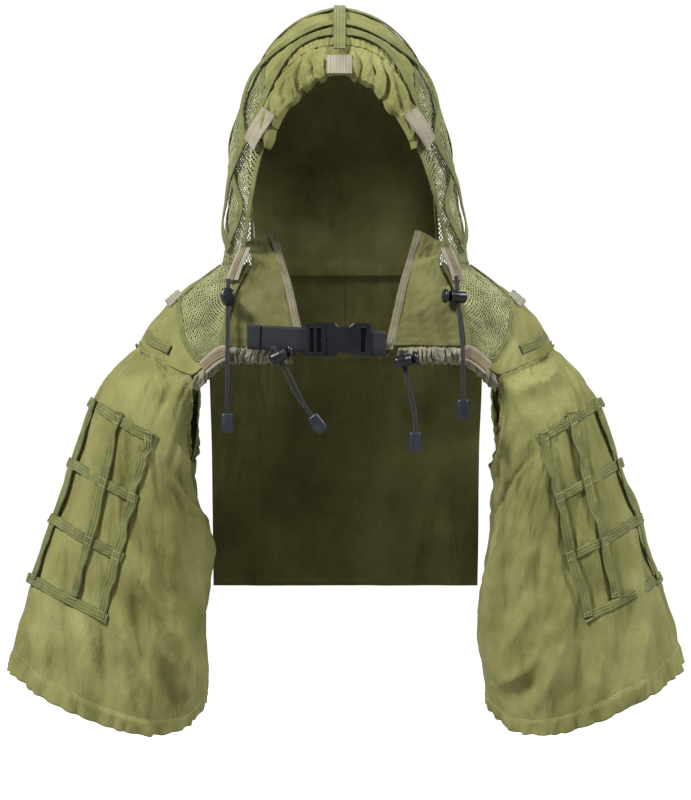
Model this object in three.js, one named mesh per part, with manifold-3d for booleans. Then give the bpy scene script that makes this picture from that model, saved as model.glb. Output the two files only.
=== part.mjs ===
// Ghillie hood with sleeves: hood, shoulder yoke, chest casing, back panel, two wide sleeves,
// webbing grids, chest buckle and four drawcords with cord locks.
// Millimetres, +Z up, front faces -Y, wearer's left is +X. Origin: centre of the wearer's neck base.
import * as THREE from 'three';
import { mergeVertices } from 'three/addons/utils/BufferGeometryUtils.js';
import Module from 'manifold-3d';

const wasm = await Module();
wasm.setup();

// ---------- driving dimensions ----------
const cloth = 2.4; // shell standing for one layer of cotton cloth and its folds
const gap = 0.8; // clearance between neighbouring panels along a seam
const layerGap = 0.5; // clearance between a webbing and what it lies on
const tape = 1.3; // thickness of narrow webbing
const hoodHalfWidth = 119;
const hoodFront = 136;
const hoodBack = 128;
const hoodCentreZ = 100;
const hoodRise = 203;
const hoodFootZ = 38;
const bandHalf = 76; // half width of the crown band between the mesh sides
const backWide = 96; // half width of the solid cloth behind the head
const brimDrop = 74; // how far the brim falls from centre to side tab
const brimZ = 226;
const brimSeamZ = 257;
const brimSeamDrop = 58;
const brimPuff = 7; // thickness of the gathered brim casing
const ringHalfWidth = 130; // neck ring of the yoke
const ringFront = 106;
const ringBack = 112;
const ringZ = 36;
const shoulderOut = 84; // from the neck ring to the sleeve seam
const chestOut = 14;
const chestDrop = 84; // neck ring to the chest casing
const shoulderDrop = 80;
const armholeDrop = 114;
const casingHeight = 17;
const casingPuff = 8;
const casingStart = 21; // degrees round from the front, where the casing leaves the neck flap
const flapCorner = 11.5; // neck flap's front corner below its bottom edge
const backLength = 245; // back panel below the yoke
const sleeveDepth = 100; // half depth of the sleeve, front to back
const sleeveHem = 6; // thickness of the elasticated hem
const tapeWidth = 10;
const tabWidth = 25;
const neckTapeWidth = 8;
const strapWidth = 25;
const strapThick = 1.6;
const strapY = -127;
const strapZ = -42.5;
const buckleWidth = 35;
const buckleThick = 9;
const cordDiameter = 4;
const barrelDiameter = 13.5;
const barrelLength = 17;
const plungerDiameter = 9;
const headDiameter = 14.5; // plunger button
const headLength = 4;
const plungerTravel = 3;
const endTop = 8;
const endBottom = 13;
const endLength = 20;

const olive = 0x8d8f58;
const netGreen = 0x7f8450;
const tapeGreen = 0x7a7f47;
const tan = 0xa39b84;
const brown = 0x85775c;
const greyTan = 0x97917f;
const neckTapeTone = 0x857f66;
const blackPlastic = 0x262a31;
const cordTone = 0x2e343c;
const endTone = 0x4c5664;

const deg = Math.PI / 180;
const group = new THREE.Group();

function material(color, roughness) {
  return new THREE.MeshStandardMaterial({ color, roughness, metalness: 0 });
}

function addMesh(name, geometry, color, roughness = 0.9) {
  const clean = geometry.clone();
  clean.deleteAttribute('normal');
  clean.deleteAttribute('uv');
  const merged = mergeVertices(clean, 1e-4);
  merged.computeVertexNormals();
  const mesh = new THREE.Mesh(merged, material(color, roughness));
  mesh.name = name;
  group.add(mesh);
}

// ---------- small helpers ----------
const vec = (x, y, z) => new THREE.Vector3(x, y, z);
const lerp = (a, b, t) => a + (b - a) * t;
const clamp01 = (t) => Math.min(1, Math.max(0, t));
const smooth = (a, b, t) => {
  const k = clamp01((t - a) / (b - a));
  return k * k * (3 - 2 * k);
};
const mirrored = (map) => (u, v) => {
  const p = map(u, v);
  return vec(-p.x, p.y, p.z);
};

// Value of a smooth line through (key, value) pairs.
function along(pairs, key) {
  let i = 0;
  while (i < pairs.length - 2 && key > pairs[i + 1][0]) i += 1;
  const [k0, a] = pairs[i];
  const [k1, b] = pairs[i + 1];
  return lerp(a, b, smooth(k0, k1, key) * 0.4 + clamp01((key - k0) / (k1 - k0)) * 0.6);
}

// Unit normal of a surface map, by differences.
function normalOf(map, u, v) {
  const d = 0.004;
  const pu = map(Math.min(1, u + d), v).sub(map(Math.max(0, u - d), v));
  const pv = map(u, Math.min(1, v + d)).sub(map(u, Math.max(0, v - d)));
  return pu.cross(pv).normalize();
}

// A sheet that follows map(u, v), from `low` to `high` along its normal, facing away from `inside`.
function panel(map, nu, nv, low, high, inside) {
  let used = map;
  const middle = map(0.5, 0.5).sub(inside);
  if (normalOf(map, 0.5, 0.5).dot(middle) < 0) used = (u, v) => map(1 - u, v);
  const box = new THREE.BoxGeometry(1, 1, 1, nu, nv, 1);
  const pos = box.attributes.position;
  for (let i = 0; i < pos.count; i += 1) {
    const u = pos.getX(i) + 0.5;
    const v = pos.getY(i) + 0.5;
    const p = used(u, v);
    const n = normalOf(used, u, v);
    const top = typeof high === 'function' ? high(v) : high;
    p.addScaledVector(n, pos.getZ(i) > 0 ? top : low);
    pos.setXYZ(i, p.x, p.y, p.z);
  }
  return box;
}

// A flat tape of a given width along line(t) = {p, n}: p on the cloth, n the cloth's outward normal.
function ribbon(line, width, steps, lift, thick = tape) {
  const box = new THREE.BoxGeometry(1, 1, 1, steps, 1, 1);
  const pos = box.attributes.position;
  for (let i = 0; i < pos.count; i += 1) {
    const t = pos.getX(i) + 0.5;
    const { p, n } = line(t);
    const ahead = line(Math.min(1, t + 0.01)).p.sub(line(Math.max(0, t - 0.01)).p).normalize();
    const side = n.clone().cross(ahead).normalize();
    const up = ahead.clone().cross(side).normalize();
    const base = typeof lift === 'function' ? lift(t) : lift;
    const q = p.clone().addScaledVector(side, pos.getY(i) * width);
    q.addScaledVector(up, base + (pos.getZ(i) > 0 ? thick : 0));
    pos.setXYZ(i, q.x, q.y, q.z);
  }
  return box;
}

function solid(geometry) {
  const g = geometry.clone();
  g.deleteAttribute('normal');
  g.deleteAttribute('uv');
  const m = mergeVertices(g, 1e-4);
  return new wasm.Manifold(new wasm.Mesh({
    numProp: 3,
    vertProperties: Float32Array.from(m.attributes.position.array),
    triVerts: Uint32Array.from(m.index.array),
  }));
}

function geometryOf(body) {
  const mesh = body.getMesh();
  const g = new THREE.BufferGeometry();
  g.setAttribute('position', new THREE.BufferAttribute(Float32Array.from(mesh.vertProperties), 3));
  g.setIndex(new THREE.BufferAttribute(Uint32Array.from(mesh.triVerts), 1));
  return g;
}

function joined(geometries) {
  return geometryOf(geometries.map(solid).reduce((a, b) => a.add(b)));
}

// ---------- hood surface ----------
// Half ellipsoid above hoodCentreZ, slowly flaring skirt below it.
function hoodHalf(z) {
  if (z >= hoodCentreZ) {
    const k = (z - hoodCentreZ) / hoodRise;
    return hoodHalfWidth * Math.sqrt(Math.max(0, 1 - k * k));
  }
  return hoodHalfWidth + (hoodCentreZ - z) * 0.12 + 5 * Math.pow(clamp01((60 - z) / 48), 2);
}

function hoodPoint(psi, z) {
  const w = hoodHalf(z);
  const shrink = smooth(110, hoodFootZ, z);
  const depth = Math.cos(psi) > 0 ? hoodFront - 30 * shrink : hoodBack - 16 * shrink;
  const y = -(depth / hoodHalfWidth) * Math.min(w, hoodHalfWidth) * Math.cos(psi);
  return vec(w * Math.sin(psi), y, z);
}

// Same surface along the crown: x across, beta from the brim over the top to the back.
function crownPoint(x, beta) {
  const k = Math.sqrt(Math.max(0, 1 - (x / hoodHalfWidth) ** 2));
  const depth = Math.cos(beta) > 0 ? hoodFront : hoodBack;
  return vec(x, -depth * k * Math.cos(beta), hoodCentreZ + hoodRise * k * Math.sin(beta));
}

function betaAt(x, z) {
  const k = Math.sqrt(1 - (x / hoodHalfWidth) ** 2);
  return Math.asin((z - hoodCentreZ) / (hoodRise * k));
}

const edgeZ = (x) => brimZ - brimDrop * Math.pow(Math.abs(x) / bandHalf, 2.1);
const seamZ = (x) => brimSeamZ - brimSeamDrop * Math.pow(Math.abs(x) / bandHalf, 2.6);
const hoodInside = vec(0, 0, 120);
const backStart = 112 * deg; // crown and back pieces meet here

const seamStep = gap / 150;
const brimMap = (u, v) => {
  const x = lerp(-bandHalf + gap, bandHalf - gap, u);
  return crownPoint(x, lerp(betaAt(x, edgeZ(x)), betaAt(x, seamZ(x)) - seamStep, v));
};
const brimThick = (v) => lerp(brimPuff, cloth, smooth(0.55, 1, v));
addMesh('hood_brim', panel(brimMap, 16, 4, 0, brimThick, hoodInside), olive);

const crownMap = (u, v) => {
  const x = lerp(-bandHalf + gap, bandHalf - gap, u);
  return crownPoint(x, lerp(betaAt(x, seamZ(x)) + seamStep, backStart - seamStep, v));
};
addMesh('hood_crown', panel(crownMap, 10, 8, 0, cloth, hoodInside), olive);

// Back of the hood: down the crown curve to z = 100, then down the skirt to the nape.
// It widens from the crown's width to backWide, and the mesh sides start where it ends.
const backHalf = (z) => lerp(backWide, bandHalf, smooth(150, 246, z));
function backHalfOn(beta) {
  let half = bandHalf;
  for (let i = 0; i < 16; i += 1) {
    const k = Math.sqrt(1 - (half / hoodHalfWidth) ** 2);
    half = lerp(half, backHalf(hoodCentreZ + hoodRise * k * Math.sin(beta)), 0.6);
  }
  return half;
}
const backMap = (u, v) => {
  const side = lerp(-1, 1, u);
  if (v >= 0.35) {
    const beta = lerp(Math.PI, backStart + seamStep, (v - 0.35) / 0.65);
    return crownPoint(side * (backHalfOn(beta) - gap), beta);
  }
  const z = lerp(hoodFootZ + gap, hoodCentreZ, v / 0.35);
  const half = backHalf(z) - gap;
  return hoodPoint(Math.PI - Math.asin((side * half) / hoodHalf(z)), z);
};
addMesh('hood_back', panel(backMap, 8, 10, 0, cloth, hoodInside), olive);

// Mesh sides: from the face edge or the crown band round to the back band.
const meshTopZ = 252;
const faceX = (z) => bandHalf + 31 * Math.pow(clamp01((brimZ - brimDrop - z) / 124), 0.8);
const sideMap = (u, v) => {
  const z = lerp(hoodFootZ + gap, meshTopZ, Math.pow(v, 0.9));
  const w = hoodHalf(z);
  const front = Math.asin(Math.min(1, (faceX(z) + gap) / w));
  const rear = Math.PI - Math.asin(Math.min(1, (backHalf(z) + gap) / w));
  return hoodPoint(lerp(front, rear, u), z);
};
const sideInside = vec(0, 10, 120);
addMesh('hood_mesh_left', panel(sideMap, 10, 10, 0, cloth, sideInside), netGreen);
addMesh('hood_mesh_right', panel(mirrored(sideMap), 10, 10, 0, cloth, sideInside), netGreen);

// ---------- hood webbing ----------
// A hoop over the hood through (psi, z) stations, the same on both sides. The heights above the widest
// line are those of a hood 203 high there, and stretch with it.
function hoop(stations) {
  const raised = (z) => (z > hoodCentreZ ? hoodCentreZ + (z - hoodCentreZ) * (hoodRise / 203) : z);
  const half = stations.map(([psi, z]) => hoodPoint(psi * deg, raised(z)));
  const other = half.slice(1).reverse().map((p) => vec(-p.x, p.y, p.z));
  const curve = new THREE.CatmullRomCurve3([...other, ...half]);
  return (t) => {
    const p = curve.getPointAt(clamp01(t));
    const w = hoodHalf(p.z);
    const n = vec(p.x / (hoodHalfWidth ** 2), p.y / (hoodFront ** 2), 0);
    n.z = p.z > hoodCentreZ ? (p.z - hoodCentreZ) / (hoodRise ** 2) : 0;
    n.normalize();
    // back onto the surface along its own section
    const q = hoodPoint(Math.atan2(p.x / w, -p.y / (w * (p.y < 0 ? hoodFront : hoodBack) / hoodHalfWidth)), p.z);
    return { p: p.z > raised(292) ? p : q, n };
  };
}

const lowLift = cloth + layerGap;
const highLift = lowLift + tape + layerGap;
const topLift = highLift + tape + layerGap;
const frontHoop = hoop([[0, 269], [21, 266], [38, 248], [47, 198], [52, 168], [66, 128], [58, 92], [72, 52]]);
const middleHoop = hoop([[0, 282], [34, 272], [66, 238], [66, 196], [56, 158], [72, 118], [82, 84], [66, 52]]);
const rearHoop = hoop([[0, 301], [62, 290], [92, 262], [108, 222], [96, 172], [112, 128], [98, 88], [108, 52]]);
addMesh('hood_strap_front', ribbon(frontHoop, tapeWidth, 30, lowLift + 1.2), tapeGreen);
const middleLift = (t) => lerp(lowLift + 0.6, highLift + 1.8, smooth(0.09, 0.17, Math.abs(t - 0.5)));
addMesh('hood_strap_middle', ribbon(middleHoop, tapeWidth, 30, middleLift), tapeGreen);
addMesh('hood_strap_rear', ribbon(rearHoop, tapeWidth, 30, lowLift + 0.6), tapeGreen);

const centreLift = (t) => lerp(brimPuff + 1.2, highLift + 1.4, smooth(0.02, 0.1, t));
const centreLine = (t) => {
  const start = betaAt(0, brimSeamZ - 9);
  const beta = lerp(start, Math.PI - 0.02, t);
  const p = crownPoint(0, beta);
  const depth = Math.cos(beta) > 0 ? hoodFront : hoodBack;
  return { p, n: vec(0, p.y / depth ** 2, (p.z - hoodCentreZ) / hoodRise ** 2).normalize() };
};
addMesh('hood_strap_centre', ribbon(centreLine, tapeWidth + 2, 22, centreLift), tapeGreen);

// Tan tabs on the brim: one in the middle, one at each end.
function brimTab(x0, x1, over) {
  return (u, v) => {
    const x = lerp(x0, x1, u);
    const low = betaAt(x, edgeZ(x) - over);
    return crownPoint(x, low + lerp(0, 0.12, v));
  };
}
addMesh('brim_tab_centre', panel(brimTab(-13, 13, 3), 4, 3, brimPuff + 0.6, brimPuff + 2, hoodInside), tan);

// Side tabs bridge the brim end and the top of the mesh's front edge.
const sideTab = (u, v) => {
  const z = lerp(150, 178, v);
  const w = hoodHalf(z);
  const x = lerp(66, 90, u) - (z - 164) * 0.55;
  return hoodPoint(Math.asin(x / w), z);
};
addMesh('brim_tab_left', panel(sideTab, 3, 3, brimPuff + 2.2, brimPuff + 3.6, hoodInside), tan);
addMesh('brim_tab_right', panel(mirrored(sideTab), 3, 3, brimPuff + 2.2, brimPuff + 3.6, hoodInside), tan);

// ---------- yoke surface ----------
function ringPoint(psi) {
  const depth = Math.cos(psi) > 0 ? ringFront : ringBack;
  return vec(ringHalfWidth * Math.sin(psi), -depth * Math.cos(psi), ringZ);
}

const dropStations = [[0, chestDrop], [45, chestDrop + 1], [57, armholeDrop], [72, 98], [90, shoulderDrop],
  [108, 98], [123, armholeDrop - 4], [140, 98], [180, 96]];

function yokePoint(psiDeg, t) {
  const psi = psiDeg * deg;
  const p = ringPoint(psi);
  const out = chestOut + (shoulderOut - chestOut) * Math.abs(Math.sin(psi)) ** 3;
  const bulge = t + 0.16 * Math.sin(Math.PI * t);
  p.x += Math.sin(psi) * out * bulge;
  p.y -= Math.cos(psi) * out * bulge;
  p.z -= along(dropStations, psiDeg) * t;
  return p;
}

const flareA = (t) => lerp(49, 46, t); // edge between neck flap and shoulder mesh
const flareB = (t) => along([[0, 84], [0.35, 81], [0.62, 68], [1, 52]], t); // edge between shoulder mesh and yoke
const bodyInside = vec(0, 0, -60);
const sideBody = vec(60, 0, -80);

const shoulderMeshMap = (u, v) => yokePoint(lerp(flareA(v) + 0.5, flareB(v) - 1.1, u), v);
addMesh('shoulder_mesh_left', panel(shoulderMeshMap, 5, 7, 0, cloth, sideBody), netGreen);
addMesh('shoulder_mesh_right', panel(mirrored(shoulderMeshMap), 5, 7, 0, cloth, vec(-60, 0, -80)), netGreen);

const yokeMap = (u, v) => yokePoint(lerp(flareB(v) + 0.3, 179.6, u), v);
addMesh('yoke_left', panel(yokeMap, 16, 6, 0, cloth, sideBody), olive);
addMesh('yoke_right', panel(mirrored(yokeMap), 16, 6, 0, cloth, vec(-60, 0, -80)), olive);

// Neck flaps: the V neck from beside the neck down to the chest casing.
const flapInner = new THREE.CatmullRomCurve3([
  vec(75, -34, 72), vec(66, -55, 40), vec(56, -76, 10), vec(49, -93, -16), vec(44, -104, -34), vec(40, -116.5, -48)]);
const flapOuter = new THREE.CatmullRomCurve3([
  vec(104, -44, 58), yokePoint(flareA(0) - 1.2, 0), yokePoint(flareA(0.35) - 1.2, 0.35),
  yokePoint(flareA(0.7) - 1.2, 0.7), yokePoint(flareA(1) - 1.2, 1)]);
const flapMap = (u, v) => {
  const p = flapInner.getPoint(v).lerp(flapOuter.getPoint(v), u);
  p.z -= flapCorner * smooth(0.8, 1, v) * (1 - smooth(0.02, 0.1, u));
  return p;
};
addMesh('neck_flap_left', panel(flapMap, 10, 10, 0, cloth, sideBody), olive);
addMesh('neck_flap_right', panel(mirrored(flapMap), 10, 10, 0, cloth, vec(-60, 0, -80)), olive);

// Binding tape along the V neck, folded round the flap's edge as a half round.
const neckTapeLine = (t) => {
  const v = lerp(0.01, 0.985, t);
  const p = flapMap(0.09, v);
  return { p, n: normalOf(flapMap, 0.12, v) };
};
const outward = (line) => (t) => {
  const { p, n } = line(t);
  return { p, n: n.y > 0 ? n.multiplyScalar(-1) : n };
};
const mirrorLine = (line) => (t) => {
  const { p, n } = line(t);
  return { p: vec(-p.x, p.y, p.z), n: vec(-n.x, n.y, n.z) };
};
const neckLine = outward(neckTapeLine);
addMesh('neck_tape_left', ribbon(neckLine, neckTapeWidth, 10, cloth + 0.7), neckTapeTone);
addMesh('neck_tape_right', ribbon(mirrorLine(neckLine), neckTapeWidth, 10, cloth + 0.7), neckTapeTone);

// ---------- chest casing ----------
const casingMap = (u, v) => {
  const p = yokePoint(lerp(casingStart, 56, u), 1);
  p.y += 3.4 * (1 - smooth(0, 0.25, u));
  p.z -= gap + casingHeight * (1 - v);
  return p;
};
addMesh('chest_casing_left', panel(casingMap, 12, 1, -1, casingPuff, vec(60, 0, -70)), greyTan);
addMesh('chest_casing_right', panel(mirrored(casingMap), 12, 1, -1, casingPuff, vec(-60, 0, -70)), greyTan);

const chestTabMap = (u, v) => {
  const p = yokePoint(lerp(44, 51.5, u), 1);
  p.z -= gap + 1 + lerp(casingHeight - 1, -3, v);
  return p;
};
const chestTab = panel(chestTabMap, 3, 2, casingPuff + 0.6, casingPuff + 2, vec(60, 0, -70));
addMesh('chest_tab_left', chestTab, brown);
addMesh('chest_tab_right', panel(mirrored(chestTabMap), 3, 2, casingPuff + 0.6, casingPuff + 2,
  vec(-60, 0, -70)), brown);

// ---------- back panel ----------
const backPanelMap = (u, v) => {
  const psi = lerp(126, 234, u);
  const p = yokePoint(psi > 180 ? 360 - psi : psi, 1);
  const fall = 1 - v;
  const side = Math.sign(180 - psi || 1);
  p.x = Math.abs(p.x) * side;
  const target = vec(Math.abs(p.x) * lerp(0.98, 1, v) * side, 128 + 6 * Math.cos((psi - 180) * deg * 1.4), 0);
  p.x = lerp(p.x, target.x, smooth(0, 0.4, fall));
  p.y = lerp(p.y, target.y, smooth(0, 0.4, fall));
  p.z = lerp(p.z - gap, -60 - backLength, fall);
  return p;
};
addMesh('back_panel', panel(backPanelMap, 16, 9, 0, cloth, vec(0, 0, -150)), olive);

// Webbing grid sewn on the back panel, three uprights and four rows.
function sheetLine(map, a, b, inside) {
  return (t) => {
    const u = lerp(a[0], b[0], t);
    const v = lerp(a[1], b[1], t);
    const p = map(u, v);
    const n = normalOf(map, u, v);
    if (n.dot(p.clone().sub(inside)) < 0) n.multiplyScalar(-1);
    return { p, n };
  };
}
const backInside = vec(0, 0, -150);
const backGrid = [];
for (const u of [0.24, 0.5, 0.76]) {
  backGrid.push(ribbon(sheetLine(backPanelMap, [u, 0.12], [u, 0.93], backInside), tapeWidth, 8, lowLift + 0.85, 1.5));
}
for (const v of [0.2, 0.42, 0.64, 0.86]) {
  backGrid.push(ribbon(sheetLine(backPanelMap, [0.18, v], [0.82, v], backInside), tapeWidth, 8, lowLift, 1.5));
}
addMesh('back_grid', joined(backGrid), tapeGreen);

// ---------- sleeves ----------
// Outer and inner side lines of the sleeve, seen from the front; u = 0 at the shoulder, 1 at the hem.
const outerSide = new THREE.CatmullRomCurve3([vec(215, 0, -47), vec(230, 0, -60), vec(247, 0, -80),
  vec(262, 0, -107), vec(283, 0, -165), vec(301, 0, -222), vec(320, 0, -278), vec(337, 0, -330), vec(350, 0, -378)]);
const innerSide = new THREE.CatmullRomCurve3([vec(163, 0, -172), vec(159, 0, -198), vec(154, 0, -235),
  vec(150, 0, -272), vec(147, 0, -312), vec(146, 0, -350), vec(148, 0, -385), vec(152, 0, -418)]);

function armholePoint(omega) {
  const a = Math.abs(omega);
  if (a <= 90) {
    const psi = 90 - (omega / 90) * 32.5;
    const p = yokePoint(psi, 1);
    p.x += gap * 2.4 * Math.cos(a * deg);
    p.z -= gap * 4;
    return p;
  }
  const end = armholePoint(omega > 0 ? 90 : -90);
  const k = (a - 90) / 90;
  const pit = innerSide.getPoint(0);
  const s = Math.sin(k * 90 * deg);
  const c = Math.cos(k * 90 * deg);
  return vec(lerp(end.x, pit.x, s * s), end.y * c, lerp(end.z - 3 * Math.sin(k * Math.PI), pit.z, s));
}

function sleevePoint(omega, s) {
  const a = outerSide.getPoint(s);
  const b = innerSide.getPoint(s);
  const c = Math.cos(omega * deg);
  const n = Math.sin(omega * deg);
  const p = vec(lerp(b.x, a.x, 0.5 + 0.5 * c), -sleeveDepth * n, lerp(b.z, a.z, 0.5 + 0.5 * c));
  p.z -= 34 * smooth(0.35, 1, s) * Math.max(0, n) * (1 - 0.5 * c) + 20 * smooth(0.4, 1, s) * Math.max(0, -n);
  return armholePoint(omega).lerp(p, smooth(0, 0.24, s));
}

// Ring-shaped sheet between two surfaces, from a lathed strip that is then moved onto the sleeve.
function sleeveSheet(side, around, rows) {
  const profile = [];
  for (let i = 0; i <= rows; i += 1) profile.push(new THREE.Vector2(2, i / rows));
  for (let i = rows; i >= 0; i -= 1) profile.push(new THREE.Vector2(1, i / rows));
  profile.push(new THREE.Vector2(2, 0));
  const lathe = new THREE.LatheGeometry(profile, around);
  const pos = lathe.attributes.position;
  for (let i = 0; i < pos.count; i += 1) {
    const x = pos.getX(i);
    const z = pos.getZ(i);
    const radius = Math.hypot(x, z);
    const turned = Math.round((Math.atan2(x, z) / deg / 360) * around) * (360 / around);
    const omega = turned > 180.01 ? turned - 360 : turned;
    const s = pos.getY(i);
    const p = sleevePoint(omega, s);
    const n = sleeveNormal(omega, s);
    const hem = sleeveHem * smooth(0.95, 0.98, s);
    p.addScaledVector(n, radius > 1.5 ? Math.max(cloth, hem) : 0);
    pos.setXYZ(i, side * p.x, p.y, p.z);
  }
  if (side < 0) {
    const index = lathe.index.array;
    for (let i = 0; i < index.length; i += 3) [index[i], index[i + 1]] = [index[i + 1], index[i]];
  }
  return lathe;
}

function sleeveNormal(omega, s) {
  const s0 = Math.max(0, s - 0.01);
  const s1 = Math.min(1, s + 0.01);
  const alongIt = sleevePoint(omega, s1).sub(sleevePoint(omega, s0));
  const round = sleevePoint(omega + 1, s).sub(sleevePoint(omega - 1, s));
  const n = alongIt.cross(round).normalize();
  const centre = outerSide.getPoint(s).lerp(innerSide.getPoint(s), 0.5);
  return n.dot(sleevePoint(omega, s).sub(centre)) < 0 ? n.multiplyScalar(-1) : n;
}

addMesh('sleeve_left', sleeveSheet(1, 20, 12), olive);
addMesh('sleeve_right', sleeveSheet(-1, 20, 12), olive);

// Webbing grid on the front and outside of the sleeve: three uprights and four rows,
// laid out by their ends as seen from the front and then brought onto the cloth.
function sleeveAt(x, z) {
  let omega = 60;
  let s = 0.5;
  for (let i = 0; i < 30; i += 1) {
    const p = sleevePoint(omega, s);
    const po = sleevePoint(omega + 0.5, s);
    const ps = sleevePoint(omega, s + 0.005);
    const a = (po.x - p.x) / 0.5;
    const b = (ps.x - p.x) / 0.005;
    const c = (po.z - p.z) / 0.5;
    const d = (ps.z - p.z) / 0.005;
    const det = a * d - b * c;
    const ex = x - p.x;
    const ez = z - p.z;
    omega = Math.min(110, Math.max(14, omega + ((d * ex - b * ez) / det) * 0.7));
    s = Math.min(0.95, Math.max(0.1, s + ((a * ez - c * ex) / det) * 0.7));
  }
  return [omega, s];
}

function sleeveLine(from, to) {
  const [o0, s0] = sleeveAt(...from);
  const [o1, s1] = sleeveAt(...to);
  const [om, sm] = sleeveAt((from[0] + to[0]) / 2, (from[1] + to[1]) / 2);
  return (t) => {
    const a = (1 - t) * (1 - 2 * t);
    const b = 4 * t * (1 - t);
    const c = t * (2 * t - 1);
    const omega = a * o0 + b * om + c * o1;
    const s = a * s0 + b * sm + c * s1;
    return { p: sleevePoint(omega, s), n: sleeveNormal(omega, s) };
  };
}
const gridTop = [[258, -108], [230, -122], [199, -142]]; // upper ends of the uprights, outer first
const gridFall = [62, 44, 48]; // how far each upright runs outwards on its way down
const gridHeight = 181;
const rowSteps = [0.0, 0.34, 0.66, 1.0];
const sleeveGrid = [];
gridTop.forEach(([x, z], i) => {
  const over = 5;
  const k = gridFall[i] / gridHeight;
  sleeveGrid.push(ribbon(sleeveLine([x - over * k, z + over], [x + gridFall[i], z - gridHeight]), tapeWidth, 7,
    lowLift + 1.7, 1.5));
});
for (const t of rowSteps) {
  const out = [gridTop[0][0] + gridFall[0] * t + 3, gridTop[0][1] - gridHeight * t + 1];
  const inn = [gridTop[2][0] + gridFall[2] * t - 6, gridTop[2][1] - gridHeight * t - 2];
  sleeveGrid.push(ribbon(sleeveLine(out, inn), tapeWidth, 6, lowLift + 0.85, 1.5));
}
const gridBody = joined(sleeveGrid);
addMesh('sleeve_grid_left', gridBody, tapeGreen);
const gridMirror = solid(gridBody).mirror([1, 0, 0]);
addMesh('sleeve_grid_right', geometryOf(gridMirror), tapeGreen);

// ---------- webbing on the shoulders ----------
const shoulderLine = (a, b) => (t) => {
  const map = (u, v) => yokePoint(lerp(60, 120, u), v);
  const u = lerp(a[0], b[0], t);
  const v = lerp(a[1], b[1], t);
  const n = normalOf(map, u, v);
  if (n.z < 0) n.multiplyScalar(-1);
  return { p: map(u, v), n };
};
const loopLine = shoulderLine([0.32, 0.42], [0.62, 0.42]);
const stripLine = shoulderLine([0.12, 0.86], [0.4, 0.84]);
addMesh('shoulder_loop_left', ribbon(loopLine, tabWidth - 7, 6, lowLift + 0.4), tan);
addMesh('shoulder_loop_right', ribbon(mirrorLine(loopLine), tabWidth - 7, 6, lowLift + 0.4), tan);
addMesh('shoulder_strip_left', ribbon(stripLine, tapeWidth, 6, lowLift + 0.4), tapeGreen);
addMesh('shoulder_strip_right', ribbon(mirrorLine(stripLine), tapeWidth, 6, lowLift + 0.4), tapeGreen);

// ---------- tabs that hold the hood cords ----------
const tipTabLine = (t) => {
  const p = yokePoint(50.5, 0.2).lerp(hoodPoint(52 * deg, 50), t);
  return { p, n: vec(0.76, -0.62, 0.2).normalize() };
};
addMesh('tip_tab_left', ribbon(tipTabLine, 20, 4, lowLift + 4), tan);
addMesh('tip_tab_right', ribbon(mirrorLine(tipTabLine), 20, 4, lowLift + 4), tan);

// ---------- chest strap and side-release buckle ----------
function block(x0, x1, y0, y1, z0, z1) {
  const g = new THREE.BoxGeometry(x1 - x0, y1 - y0, z1 - z0);
  g.translate((x0 + x1) / 2, (y0 + y1) / 2, (z0 + z1) / 2);
  return g;
}

// Outline in X-Z pulled through the thickness, edges rounded a little.
function plate(points, y0, y1, bevel = 0.8) {
  const shape = new THREE.Shape(points.map(([x, z]) => new THREE.Vector2(x, z)));
  const g = new THREE.ExtrudeGeometry(shape, {
    depth: y1 - y0 - 2 * bevel, bevelEnabled: bevel > 0, bevelThickness: bevel, bevelSize: bevel,
    bevelOffset: -bevel, bevelSegments: 1, curveSegments: 6,
  });
  g.rotateX(Math.PI / 2);
  g.translate(0, y1 - bevel, 0);
  return g;
}

const halfB = buckleWidth / 2;
const femaleLeft = -18.5;
const femaleRight = 25.5;
const maleLeft = -39.5;
const midY = strapY;
const y0 = midY - buckleThick / 2;
const y1 = midY + buckleThick / 2;

// Female housing: hollow, open to the left, with finger notches at top and bottom and a strap bar.
const shell = solid(plate([[femaleLeft, -halfB], [femaleLeft + 8, -halfB], [femaleLeft + 12, -halfB + 4],
  [femaleLeft + 22, -halfB + 4], [femaleLeft + 27, -halfB], [femaleRight, -halfB + 1], [femaleRight, halfB - 1],
  [femaleLeft + 27, halfB], [femaleLeft + 22, halfB - 4], [femaleLeft + 12, halfB - 4], [femaleLeft + 8, halfB],
  [femaleLeft, halfB]], y0, y1, 1).translate(0, 0, strapZ));
const room = solid(block(femaleLeft - 5, femaleLeft + 30, y0 + 1.6, y1 - 1.6, strapZ - halfB + 2.2, strapZ + halfB - 2.2));
const fingers = solid(block(femaleLeft + 11.5, femaleLeft + 23, y0 + 1.6, y1 - 1.6, strapZ - halfB - 1, strapZ + halfB + 1));
const slot = solid(block(femaleRight - 10, femaleRight - 4.5, y0 - 1, y1 + 1, strapZ - 13.2, strapZ + 13.2));
addMesh('buckle_female', geometryOf(shell.subtract(room).subtract(fingers).subtract(slot)), blackPlastic, 0.45);

// Male end: ladder bars for the adjustable strap, a face that meets the housing and a centre guide.
const frame = solid(plate([[maleLeft, -halfB + 1], [femaleLeft - 0.4, -halfB], [femaleLeft - 0.4, halfB],
  [maleLeft, halfB - 1]], y0 + 0.6, y1 - 0.6, 0.8).translate(0, 0, strapZ));
const slotA = solid(block(maleLeft + 3.5, maleLeft + 7.5, y0 - 1, y1 + 1, strapZ - 13.2, strapZ + 13.2));
const slotB = solid(block(maleLeft + 11, maleLeft + 15, y0 - 1, y1 + 1, strapZ - 13.2, strapZ + 13.2));
const guide = solid(block(femaleLeft - 2, femaleLeft + 26, midY - 1.8, midY + 1.8, strapZ - 2.2, strapZ + 2.2));
addMesh('buckle_male', geometryOf(frame.subtract(slotA).subtract(slotB).add(guide)), blackPlastic, 0.45);

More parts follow.
